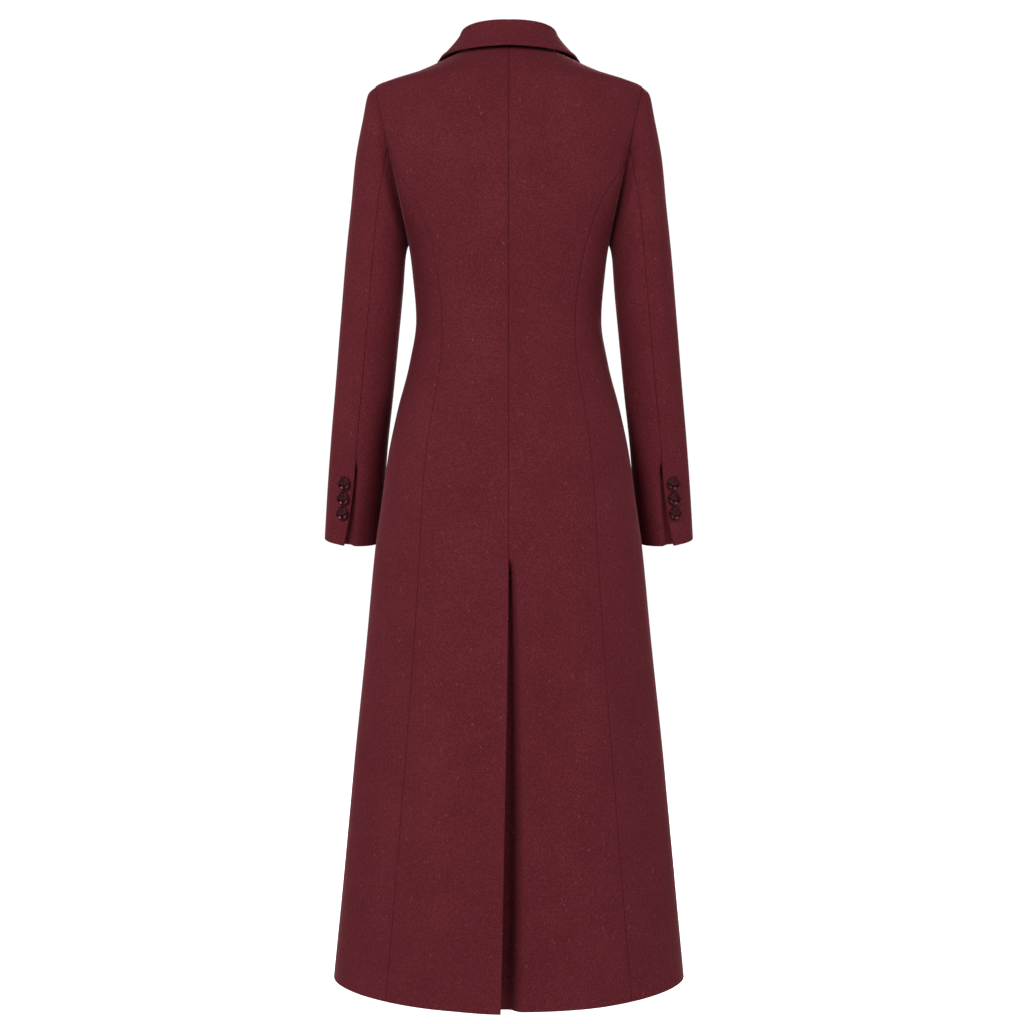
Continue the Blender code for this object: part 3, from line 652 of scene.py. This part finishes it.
def side_back_outer(z):
    if z > UNDERARM_Z:
        return armhole_angle(z, 1)
    return side_seam(z) - half_gap(SIDE_SEAM, z)


def plain(x, z):
    return 0.0


def always(z):
    return 1.0


for hand, side in HANDS:
    side_back = body_piece("side_back_" + hand, side, body_heights(HEM_Z, PRINCESS_Z - SIDE_TIP),
                           SIDE_COLUMNS, side_back_inner, side_back_outer, plain, always,
                           armhole_pull(UNDERARM_Z))

# The fronts: the same wool from the side seams to the front edges, right over left, with the edges
# folded back and the neck cut away above the break where the lapels roll.
FRONT_LAP = 0.028
FRONT_SPREAD = 0.045
BREAK_Z = -0.262
GORGE_Z = -0.036
GORGE_X = 0.054
FRONT_COLUMNS = 40
FRONT_NECK = Sizes(
    ("z", "x"),
    ((BREAK_Z, -FRONT_LAP), (-0.143, 0.012), (GORGE_Z, GORGE_X), (-0.018, 0.0605), (NECK_Z, 0.0642)),
)
FRONT_DIP = Sizes(
    ("z", "dip"),
    ((-1.310, 0.0034), (-0.310, 0.0034), (BREAK_Z, 0.0096), (-0.160, 0.0090), (-0.090, 0.0010),
     (NECK_Z, 0.0)),
)


def front_edge(z):
    x = FRONT_NECK.read("x", z) if z > BREAK_Z else -FRONT_LAP
    return angle_at(x, z, -1)


def front_outer(z):
    if z >= UNDERARM_Z:
        return outer_edge(z, -1)
    return side_seam(z) + half_gap(SIDE_SEAM, z)


def under_front_drape(x, z):
    return -FRONT_DIP.read("dip", z) * smooth(1.0 - (x - FRONT_LAP) / FRONT_SPREAD)


def never(z):
    return 0.0


FRONT_DRAPES = (under_front_drape, plain)
for (hand, side), drape in zip(HANDS, FRONT_DRAPES):
    front = body_piece("front_" + hand, side, body_heights(HEM_Z, NECK_Z), FRONT_COLUMNS, front_edge,
                       front_outer, drape, never, armhole_pull(UNDERARM_Z))

# The lapels: the tops of the fronts, faced with the same wool and turned back from a soft roll, with
# a bluff edge that is pressed firm.
LAPEL_ROLL = 0.0026
LAPEL_REST = 0.0014
LAPEL_SETTLE = 0.71
LAPEL_SLANT = 0.046
ROLL_SHARE = 0.36
LAPEL = Sizes(
    ("along", "width"),
    ((0.00, 0.006), (0.15, 0.021), (0.35, 0.039), (0.60, 0.057), (0.80, 0.068), (1.00, 0.072)),
)
FIRM_EDGE = 0.0007
FIRM_EDGE_PLACE = 0.0045
FIRM_EDGE_WIDTH = 0.0030


def roll(seat, towards, outward, radius, turned):
    """Point on a half-turn that leaves the seat and comes back above it."""
    turn = math.pi * turned
    return seat + towards * (radius * math.sin(turn)) + outward * (radius * (1.0 - math.cos(turn)))


def lapel_middle(across, up, drape):
    """Middle of the lapel's cloth, from the roll at the front's edge to the lapel's own edge."""
    roll_z = mix(BREAK_Z, GORGE_Z - SEAM_GAP, up)
    turned = min(across / ROLL_SHARE, 1.0)
    spread = max(across - ROLL_SHARE, 0.0) / (1.0 - ROLL_SHARE)
    z = roll_z - LAPEL_SLANT * spread * up ** 2
    x = FRONT_NECK.read("x", roll_z) + LAPEL.read("width", up) * spread
    angle = angle_at(x, z, -1)
    normal = body_normal(angle, z)
    surface = body_point(angle, z) + normal * (drape(x, z) - 0.5 * CLOTH)
    if across <= ROLL_SHARE:
        towards = body_around(angle, z).normalized()
        return roll(surface + towards * SEAM_GAP, towards, normal, LAPEL_ROLL, turned)
    towards = body_around(angle, z).normalized() * SEAM_GAP * (1.0 - spread)
    height = mix(2.0 * LAPEL_ROLL, CLOTH + LAPEL_REST, smooth(spread / LAPEL_SETTLE))
    return surface + towards + normal * height


def rolled_piece(name, side, columns, rows, middle, firm_side):
    """A sheet that rolls over: a middle surface with half the cloth on each side of it."""
    places = np.array([[middle(column / columns, row / rows) for column in range(columns + 1)]
                       for row in range(rows + 1)])
    over = np.gradient(places, axis=1)
    along = np.gradient(places, axis=0)
    normals = np.cross(over, along)
    normals /= np.linalg.norm(normals, axis=2, keepdims=True)
    run = np.linalg.norm(np.diff(places, axis=1), axis=2).cumsum(axis=1)
    run = np.concatenate([np.zeros((rows + 1, 1)), run], axis=1)
    climb = np.linalg.norm(np.diff(places, axis=0), axis=2).cumsum(axis=0)
    climb = np.concatenate([np.zeros((1, columns + 1)), climb], axis=0)
    edges = {"left": run, "right": run[:, -1:] - run, "bottom": climb, "top": climb[-1:] - climb}
    from_edge = np.minimum.reduce(list(edges.values()))
    firm = np.exp(-((edges[firm_side] - FIRM_EDGE_PLACE) / FIRM_EDGE_WIDTH) ** 2) * FIRM_EDGE
    outside = places + normals * (0.5 * CLOTH + firm)[..., None]
    return cloth_sheet(name, side, outside, normals, from_edge, np.zeros_like(run))


LAPEL_COLUMNS = 60
LAPEL_ROWS = 90
for (hand, side), drape in zip(HANDS, FRONT_DRAPES):
    lapel = rolled_piece("lapel_" + hand, side, LAPEL_COLUMNS, LAPEL_ROWS,
                         functools.partial(lapel_middle, drape=drape), "right")

# The collar: one piece of wool sewn round the neck. It stands up, folds over and falls on the
# shoulders, with a firm rolled edge, and ends in a notch beside each lapel.
NECK_POINT = 0.60
COLLAR_SEAT = 0.0009
COLLAR_TUCK = 0.0024
COLLAR_BULGE = 0.18
COLLAR_CROWN = 0.008
STAND_SHARE = 0.22
FOLD_SHARE = 0.30
SEAT_STEP = 0.01
COLLAR = Sizes(
    ("along", "seat_turn", "seat_z", "stand", "lean", "fold", "edge_turn", "edge_z", "edge_lift"),
    (
        (0.00, 0.0, 0.000, 0.0260, 32.0, 0.0042, 0.0, -0.0130, 0.0074),
        (0.20, 36.0, 0.000, 0.0262, 40.0, 0.0042, 31.2, -0.0135, 0.0056),
        (0.40, 68.0, 0.000, 0.0241, 50.0, 0.0042, 60.1, -0.0135, 0.0035),
        (0.55, 90.0, 0.000, 0.0200, 52.0, 0.0040, 87.0, -0.0140, 0.0027),
        (0.60, 101.0, 0.000, 0.0192, 49.5, 0.0039, 95.0, -0.0155, 0.0026),
        (0.70, 101.0, -0.006, 0.0178, 44.0, 0.0037, 109.5, -0.0200, 0.0024),
        (0.85, 101.0, -0.020, 0.0110, 26.0, 0.0032, 132.0, -0.0330, 0.0022),
        (0.925, 101.0, -0.028, 0.0058, 13.0, 0.0029, 141.4, -0.0400, 0.0020),
        (1.00, 101.0, GORGE_Z, 0.0010, 0.0, LAPEL_ROLL, 146.5, -0.0470, 0.0018),
    ),
)


def mirrored(point, side):
    return Vector((side * point.x, point.y, point.z))


def collar_seat(along):
    """Place and outward normal where the stand is sewn to the neck."""
    z = COLLAR.read("seat_z", along)
    if along <= NECK_POINT:
        angle = math.radians(COLLAR.read("seat_turn", along))
        z = NECK_Z
    else:
        angle = angle_at(FRONT_NECK.read("x", z), z, -1)
    return body_point(angle, z), body_normal(angle, z)


def collar_middle(across, up):
    """Middle of the collar's cloth: across goes round the neck, up goes over the fold to the edge."""
    side = 1.0 if across >= 0.5 else -1.0
    along = abs(2.0 * across - 1.0)
    seat, normal = collar_seat(along)
    before, _ = collar_seat(max(along - SEAT_STEP, 0.0))
    after, _ = collar_seat(min(along + SEAT_STEP, 1.0))
    run = (after - before).normalized()
    if along < SEAT_STEP:
        run = Vector((1.0, 0.0, 0.0))
    inward = run.cross(normal).normalized()
    lean = math.radians(COLLAR.read("lean", along))
    towards = inward * math.cos(lean) + normal * math.sin(lean)
    outward = normal * math.cos(lean) - inward * math.sin(lean)
    stand = COLLAR.read("stand", along)
    fold = COLLAR.read("fold", along)
    base = seat + towards * COLLAR_SEAT - outward * (0.5 * CLOTH)
    if up <= STAND_SHARE:
        return mirrored(base + towards * mix(-COLLAR_TUCK, stand, up / STAND_SHARE), side)
    top = base + towards * stand
    if up <= STAND_SHARE + FOLD_SHARE:
        return mirrored(roll(top, towards, outward, fold, (up - STAND_SHARE) / FOLD_SHARE), side)
    fall = (up - STAND_SHARE - FOLD_SHARE) / (1.0 - STAND_SHARE - FOLD_SHARE)
    start = top + outward * (2.0 * fold)
    edge_z = COLLAR.read("edge_z", along)
    edge_angle = math.radians(COLLAR.read("edge_turn", along))
    lift = 0.5 * CLOTH + COLLAR.read("edge_lift", along)
    edge = body_point(edge_angle, edge_z) + body_normal(edge_angle, edge_z) * lift
    bend = mix(start - towards * (COLLAR_BULGE * (edge - start).length),
               0.5 * (start + edge) + normal * COLLAR_CROWN,
               smooth((along - NECK_POINT) / (1.0 - NECK_POINT)))
    point = start * (1.0 - fall) ** 2 + bend * (2.0 * fall * (1.0 - fall)) + edge * fall ** 2
    return mirrored(point, side)


COLLAR_COLUMNS = 160
COLLAR_ROWS = 100
collar = rolled_piece("collar", 1, COLLAR_COLUMNS, COLLAR_ROWS, collar_middle, "top")

# The sleeves: each is cut in two halves, joined at the elbow seam behind and at a seam inside the
# arm, and set into the armhole with a slightly raised head. The cuff has a vent that laps backwards.
ARMHOLE_GAP = -0.0012
ARMHOLE_TUCK = 0.0030
SLEEVE_SINK_WIDTH = 0.030
ELBOW_SEAM_TOP = math.radians(83.0)
ELBOW_SEAM = math.radians(90.0)
FRONT_ARM_SEAM = math.radians(-105.0)
CUFF_VENT_Z = -0.562
CUFF_LAP = math.radians(20.0)
CUFF_SWING = math.radians(12.5)
CUFF_LIFT = 0.0022
CUFF_DIP = 0.0095
CUFF_DIP_SPREAD = math.radians(10.0)
CUFF_RING = 10.0
ARMHOLE_FADE = 3.0
SHOULDER_SHARE = 0.2
SLEEVE = Sizes(
    ("ring", "inner_x", "inner_z", "outer_x", "outer_z", "back", "front", "middle_y", "slant"),
    (
        (0, UNDERARM_X, UNDERARM_Z, SHOULDER_X, SHOULDER_Z, 0.0560, 0.0560, 0.000, 0.000),
        (1, 0.1416, -0.2700, 0.1976, -0.0576, 0.0590, 0.0590, 0.000, 0.000),
        (2, 0.1428, -0.2730, 0.2058, -0.0960, 0.0618, 0.0615, 0.000, 0.000),
        (3, 0.1442, -0.2780, 0.2157, -0.1510, 0.0630, 0.0625, 0.000, 0.000),
        (4, 0.1458, -0.2890, 0.2215, -0.2130, 0.0620, 0.0615, 0.001, 0.000),
        (5, 0.1484, -0.3280, 0.2290, -0.2850, 0.0595, 0.0590, 0.003, 0.000),
        (6, 0.1546, -0.3950, 0.2362, -0.3740, 0.0560, 0.0555, 0.002, 0.000),
        (7, 0.1630, -0.4750, 0.2446, -0.4670, 0.0525, 0.0520, -0.010, 0.001),
        (8, 0.1725, -0.5560, 0.2530, -0.5500, 0.0500, 0.0495, -0.026, 0.003),
        (9, 0.1780, -0.6240, 0.2590, -0.6180, 0.0482, 0.0478, -0.040, 0.006),
        (10, 0.1840, -0.6854, 0.2636, -0.6798, 0.0470, 0.0465, -0.052, 0.008),
    ),
)
SLEEVE_CREASES = (
    (70.0, -0.300, 118.0, -0.340, 0.012, -0.0014), (60.0, -0.392, 112.0, -0.372, 0.012, -0.0012),
    (66.0, -0.440, 122.0, -0.418, 0.011, 0.0010), (-70.0, -0.400, -20.0, -0.372, 0.012, -0.0014),
    (-80.0, -0.440, -30.0, -0.452, 0.012, -0.0014), (20.0, -0.240, 44.0, -0.400, 0.016, -0.0008),
    (100.0, -0.480, 150.0, -0.455, 0.011, -0.0012), (30.0, -0.560, 60.0, -0.520, 0.014, -0.0007),
)
SLEEVE_REACH = 0.045
TURN_STEP = 0.004
RING_STEP = 0.02
RING_HALVINGS = 40
CUFF_SETTLE = 0.35
ELBOW_SETTLE = 1.6


def sleeve_oval(turn, place):
    sizes = {name: SLEEVE.read(name, place) for name in SLEEVE.columns[1:]}
    inner = Vector((sizes["inner_x"], 0.0, sizes["inner_z"]))
    outer = Vector((sizes["outer_x"], 0.0, sizes["outer_z"]))
    depth = sizes["back"] if math.sin(turn) >= 0.0 else sizes["front"]
    sway = math.sin(turn)
    swing = Vector((ARMHOLE_GAP, sizes["middle_y"] + depth * sway, -sizes["slant"] * sway))
    return 0.5 * (inner + outer) + 0.5 * (outer - inner) * math.cos(turn) + swing


def sleeve_point(turn, place):
    """Point on the outside of the sleeve, which starts from the armhole's own edge."""
    point = sleeve_oval(turn, place)
    if place < ARMHOLE_FADE:
        seam = sleeve_oval(turn, 0.0)
        z = min(max(seam.z, UNDERARM_Z), SHOULDER_Z)
        edge = body_point(armhole_angle(z, 1 if math.sin(turn) >= 0.0 else -1), z)
        point.y += (edge.y - seam.y) * (1.0 - smooth(place / ARMHOLE_FADE))
    return point


def sleeve_around(turn, place):
    after, before = sleeve_point(turn + TURN_STEP, place), sleeve_point(turn - TURN_STEP, place)
    return (after - before) / (2.0 * TURN_STEP)


def sleeve_normal(turn, place):
    """Outward normal of the sleeve, which leaves the shoulder level with the body's own."""
    down = (sleeve_point(turn, min(place + RING_STEP, CUFF_RING))
            - sleeve_point(turn, max(place - RING_STEP, 0.0)))
    own = down.cross(sleeve_around(turn, place)).normalized()
    if place > 0.0 or math.cos(turn) < SHOULDER_SHARE:
        return own
    seam_z = sleeve_point(turn, 0.0).z
    facing = 1 if math.sin(turn) >= 0.0 else -1
    joined = body_normal(armhole_angle(min(seam_z, SHOULDER_Z), facing), seam_z)
    return mix(joined, own, smooth((1.0 - math.cos(turn)) / (1.0 - SHOULDER_SHARE))).normalized()


def ring_at(z):
    """Place down the sleeve where its middle is at one height."""
    low, high = 0.0, CUFF_RING
    for _ in range(RING_HALVINGS):
        middle = 0.5 * (low + high)
        if 0.5 * (SLEEVE.read("inner_z", middle) + SLEEVE.read("outer_z", middle)) > z:
            low = middle
        else:
            high = middle
    return low


CUFF_VENT = ring_at(CUFF_VENT_Z)


def cuff_opening(place):
    return max(0.0, (place - CUFF_VENT) / (CUFF_RING - CUFF_VENT))


def sleeve_gap(seam, place):
    """Half the gap of a seam as a turn, square to the seam and wider where the cloth twists."""
    before, after = max(place - RING_STEP, 0.0), min(place + RING_STEP, CUFF_RING)
    run = (sleeve_point(seam(after), after) - sleeve_point(seam(before), before)).normalized()
    gap = SEAM_GAP * (2.0 - smooth(place))
    return 0.5 * gap / sleeve_around(seam(place), place).cross(run).length


def elbow_seam(place):
    return mix(ELBOW_SEAM_TOP, ELBOW_SEAM, smooth(place / ELBOW_SETTLE))


def upper_edge(place):
    return elbow_seam(place) - CUFF_SWING * cuff_opening(place) ** 2 - sleeve_gap(elbow_seam, place)


def upper_drape(turn, place):
    return CUFF_LIFT * cuff_opening(place) * smooth(1.0 - (upper_edge(place) - turn) / CUFF_LAP)


def under_edge(place):
    turned = smooth((place - CUFF_VENT - CUFF_SETTLE) / CUFF_SETTLE)
    return elbow_seam(place) + sleeve_gap(elbow_seam, place) * (1.0 - turned) - CUFF_LAP * turned


def under_drape(turn, place):
    settled = smooth((place - CUFF_VENT) / CUFF_SETTLE)
    return -CUFF_DIP * settled * smooth(1.0 - (turn - ELBOW_SEAM) / CUFF_DIP_SPREAD)


def front_arm_seam(place):
    return FRONT_ARM_SEAM


def upper_front_edge(place):
    return FRONT_ARM_SEAM + sleeve_gap(front_arm_seam, place)


def under_front_edge(place):
    return FRONT_ARM_SEAM + 2.0 * math.pi - sleeve_gap(front_arm_seam, place)


def sleeve_sink(turn, point):
    seam = sleeve_point(turn, 0.0)
    seam_z = min(max(seam.z, UNDERARM_Z), SHOULDER_Z)
    seam_angle = armhole_angle(seam_z, 1 if math.sin(turn) >= 0.0 else -1)
    return armhole_sink(seam_angle, seam_z, (point - seam).length / SLEEVE_SINK_WIDTH)


SLEEVE_LENGTH = 0.60
SLEEVE_ROWS = 90
CUFF_VENT_FADE = 0.4


def sleeve_piece(name, side, columns, near, far, drape, elbow_is_far):
    """Half of a sleeve between two edges given as turns round the arm."""
    lengths = steps(SLEEVE_LENGTH, SLEEVE_ROWS)
    outside, normals, from_edge, sewn, extra = [], [], [], [], []
    for length in lengths:
        place = CUFF_RING * length / SLEEVE_LENGTH
        start, end = near(place), far(place)
        width = (end - start) * sleeve_around(0.5 * (start + end), place).length
        closed = smooth((CUFF_VENT - place) / CUFF_VENT_FADE + 1.0)
        for step in steps(width, columns):
            turn = mix(start, end, step / width)
            point = sleeve_point(turn, place)
            normal = sleeve_normal(turn, place)
            lift = drape(turn, place) + crease(SLEEVE_CREASES, turn, point.z, SLEEVE_REACH)
            tuck = Vector((ARMHOLE_TUCK * max(0.0, 1.0 - length / SEAM_TURN), 0.0, 0.0))
            outside.append(point + normal * lift - sleeve_sink(turn, point) - tuck)
            normals.append(normal)
            from_edge.append(min(step, width - step, length, SLEEVE_LENGTH - length))
            elbow, inner = (width - step, step) if elbow_is_far else (step, width - step)
            sewn.append(max(0.0, closed * (1.0 - elbow / SEAM_TURN), 1.0 - inner / SEAM_TURN,
                            ARMHOLE_PULL * (1.0 - length / SEAM_TURN)))
            extra.append(turned_hem(SLEEVE_LENGTH - length))
    return cloth_sheet(name, side, *in_rows(len(lengths), outside, normals, from_edge, sewn, extra))


UPPER_COLUMNS = 40
UNDER_COLUMNS = 32
for hand, side in HANDS:
    upper = sleeve_piece("upper_sleeve_" + hand, side, UPPER_COLUMNS, upper_front_edge, upper_edge,
                         upper_drape, True)
    under = sleeve_piece("under_sleeve_" + hand, side, UNDER_COLUMNS, under_edge, under_front_edge,
                         under_drape, False)

# The buttons: turned from dark burgundy resin and polished, each with a raised rim, a dished middle
# and four holes, sewn on with doubled thread. Three lie edge to edge at each cuff, and four larger
# ones close the front.
CUFF_BUTTONS = 3
CUFF_BUTTON_RADIUS = 0.0099
CUFF_BUTTON_PITCH = 0.0200
CUFF_BUTTON_TURN = math.radians(70.5)
CUFF_BUTTON_TOP_Z = -0.5995
FRONT_BUTTONS = 4
FRONT_BUTTON_RADIUS = 0.0125
FRONT_BUTTON_TOP_Z = -0.2855
FRONT_BUTTON_PITCH = 0.110
BUTTON_SEAT = 0.0004
BUTTON_TURNS = 48
BUTTON_DISH = 0.0020
BUTTON_WELD = 0.00001
BUTTON_EDGE = math.radians(40.0)

# The button's outline from its middle over the rim and back under: shares of its radius, and heights
BUTTON_PROFILE = (
    (0.00, BUTTON_DISH), (0.46, 0.0021), (0.60, 0.0027), (0.72, 0.0034), (0.84, 0.0037), (0.94, 0.0033),
    (1.00, 0.0022), (0.99, 0.0012), (0.90, 0.0003), (0.60, 0.0000), (0.00, 0.0000),
)
HOLE_PLACE = 0.20
HOLE_RADIUS = 0.085
HOLE_SIDES = 16
DRILL_DEPTH = 0.0080
RESIN = (0.018, 0.0018, 0.0030, 1.0)
RESIN_LIGHT = (0.044, 0.0050, 0.0072, 1.0)
RESIN_GLOSS = (1.0, 0.42, 0.48, 1.0)
RESIN_CLOUD_FINENESS = 180.0
RESIN_WEAR_FINENESS = 900.0
RESIN_POLISH = 0.06
RESIN_WEAR = 0.08
PLY_FINENESS = 2500.0


def button_resin():
    """Polished resin with a faint cloud in it and light wear on the gloss."""
    material, shader, place = new_finish("burgundy resin")
    cloud = place.grain(RESIN_CLOUD_FINENESS, 3.0)
    wear = place.grain(RESIN_WEAR_FINENESS, 2.0)
    cloud.between(0.40, 0.65).blend(RESIN, RESIN_LIGHT).feed(shader, "Base Color")
    (RESIN_POLISH + RESIN_WEAR * wear).feed(shader, "Roughness")
    shader.inputs["Specular IOR Level"].default_value = 0.30
    shader.inputs["Specular Tint"].default_value = RESIN_GLOSS
    return material


def sewing_thread():
    """Matt twisted thread, dyed to match the wool."""
    material, shader, place = new_finish("burgundy thread")
    ply = place.grain(PLY_FINENESS, 1.0)
    # The thread's darker ply shares its colour with the painted seam shade
    ply.between(0.3, 0.7).blend(WOOL_SEAM_SHADE_AND_THREAD_PLY, WOOL_BODY).feed(shader, "Base Color")
    shader.inputs["Roughness"].default_value = 0.7
    return material


resin = button_resin()
thread = sewing_thread()


def keep(name, shape, material):
    mesh = bpy.data.meshes.new(name)
    shape.to_mesh(mesh)
    shape.free()
    mesh.shade_smooth()
    mesh.set_sharp_from_angle(angle=BUTTON_EDGE)
    mesh.materials.append(material)
    piece = bpy.data.objects.new(name, mesh)
    scene.collection.objects.link(piece)
    return piece


def turned_button(radius):
    disc = bmesh.new()
    profile = [disc.verts.new((share * radius, 0.0, height)) for share, height in BUTTON_PROFILE]
    line = [disc.edges.new(pair) for pair in zip(profile, profile[1:])]
    bmesh.ops.spin(disc, geom=profile + line, cent=(0.0, 0.0, 0.0), axis=(0.0, 0.0, 1.0),
                   angle=2.0 * math.pi, steps=BUTTON_TURNS, use_merge=True)
    bmesh.ops.remove_doubles(disc, verts=disc.verts[:], dist=BUTTON_WELD)
    bmesh.ops.recalc_face_normals(disc, faces=disc.faces[:])
    return disc


def drilled(name, radius):
    """A turned button with its four holes bored through."""
    blank = keep(name, turned_button(radius), resin)
    place = HOLE_PLACE * radius
    bore_radius = HOLE_RADIUS * radius
    drill = bmesh.new()
    for x, y in [(x, y) for x in (-place, place) for y in (-place, place)]:
        made = bmesh.ops.create_cone(drill, cap_ends=True, segments=HOLE_SIDES, radius1=bore_radius,
                                     radius2=bore_radius, depth=DRILL_DEPTH)
        bmesh.ops.translate(drill, verts=made["verts"], vec=(x, y, 0.0))
    bit = keep(name + "_drill", drill, resin)
    bore = blank.modifiers.new("holes", "BOOLEAN")
    bore.operation = "DIFFERENCE"
    bore.solver = "EXACT"
    bore.object = bit
    bpy.context.view_layer.update()
    graph = bpy.context.evaluated_depsgraph_get()
    finished = bpy.data.meshes.new_from_object(blank.evaluated_get(graph))
    shape = bmesh.new()
    shape.from_mesh(finished)
    for spare in (blank, bit):
        mesh = spare.data
        bpy.data.objects.remove(spare, do_unlink=True)
        bpy.data.meshes.remove(mesh)
    bpy.data.meshes.remove(finished)
    return shape


THREAD_RADIUS = 0.00045
THREAD_SIDES = 8
THREAD_STEPS = 10
THREAD_ARCH = 0.45


def stitches(shape, radius, place):
    """Two loops of thread, each in a low arch over the bridge between a pair of holes."""
    reach = HOLE_PLACE * radius
    low = BUTTON_DISH - THREAD_RADIUS
    for x in (-reach, reach):
        ring = bmesh.ops.create_circle(shape, segments=THREAD_SIDES, radius=THREAD_RADIUS)["verts"]
        bmesh.ops.translate(shape, verts=ring, vec=(x, reach, low))
        edges = list({edge for vert in ring for edge in vert.link_edges})
        made = bmesh.ops.spin(shape, geom=ring + edges, cent=(x, 0.0, low), axis=(1.0, 0.0, 0.0),
                              angle=math.pi, steps=THREAD_STEPS)
        last = [part for part in made["geom_last"] if isinstance(part, bmesh.types.BMVert)]
        loop = set(ring) | set(last)
        for _ in range(THREAD_STEPS):
            loop |= {end for vert in loop for edge in vert.link_edges for end in edge.verts}
        loop = list(loop)
        bmesh.ops.scale(shape, verts=loop, vec=(1.0, 1.0, THREAD_ARCH),
                        space=Matrix.Translation((0.0, 0.0, -low)))
        bmesh.ops.transform(shape, verts=loop, matrix=place)


def set_button(name, radius, seat, normal, sewing):
    turned = normal.to_track_quat("Z", "Y").to_matrix().to_4x4()
    place = Matrix.Translation(seat + normal * BUTTON_SEAT) @ turned
    shape = drilled(name, radius)
    bmesh.ops.transform(shape, verts=shape.verts[:], matrix=place)
    piece = keep(name + "_turned", shape, resin)
    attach(piece, "root")
    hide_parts(name)
    stitches(sewing, radius, place)


def keep_thread(name, sewing):
    bmesh.ops.recalc_face_normals(sewing, faces=sewing.faces[:])
    piece = keep(name, sewing, thread)
    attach(piece, "root")


for hand, side in HANDS:
    sewing = bmesh.new()
    for number in range(CUFF_BUTTONS):
        place = ring_at(CUFF_BUTTON_TOP_Z - CUFF_BUTTON_PITCH * number)
        normal = sleeve_normal(CUFF_BUTTON_TURN, place)
        seat = sleeve_point(CUFF_BUTTON_TURN, place) + normal * upper_drape(CUFF_BUTTON_TURN, place)
        set_button("cuff_button_%s_%d" % (hand, number + 1), CUFF_BUTTON_RADIUS,
                   mirrored(seat, side), mirrored(normal, side), sewing)
    keep_thread("cuff_thread_" + hand, sewing)

sewing = bmesh.new()
for number in range(FRONT_BUTTONS):
    z = FRONT_BUTTON_TOP_Z - FRONT_BUTTON_PITCH * number
    set_button("front_button_%d" % (number + 1), FRONT_BUTTON_RADIUS, body_point(math.pi, z),
               body_normal(math.pi, z), sewing)
keep_thread("front_thread", sewing)
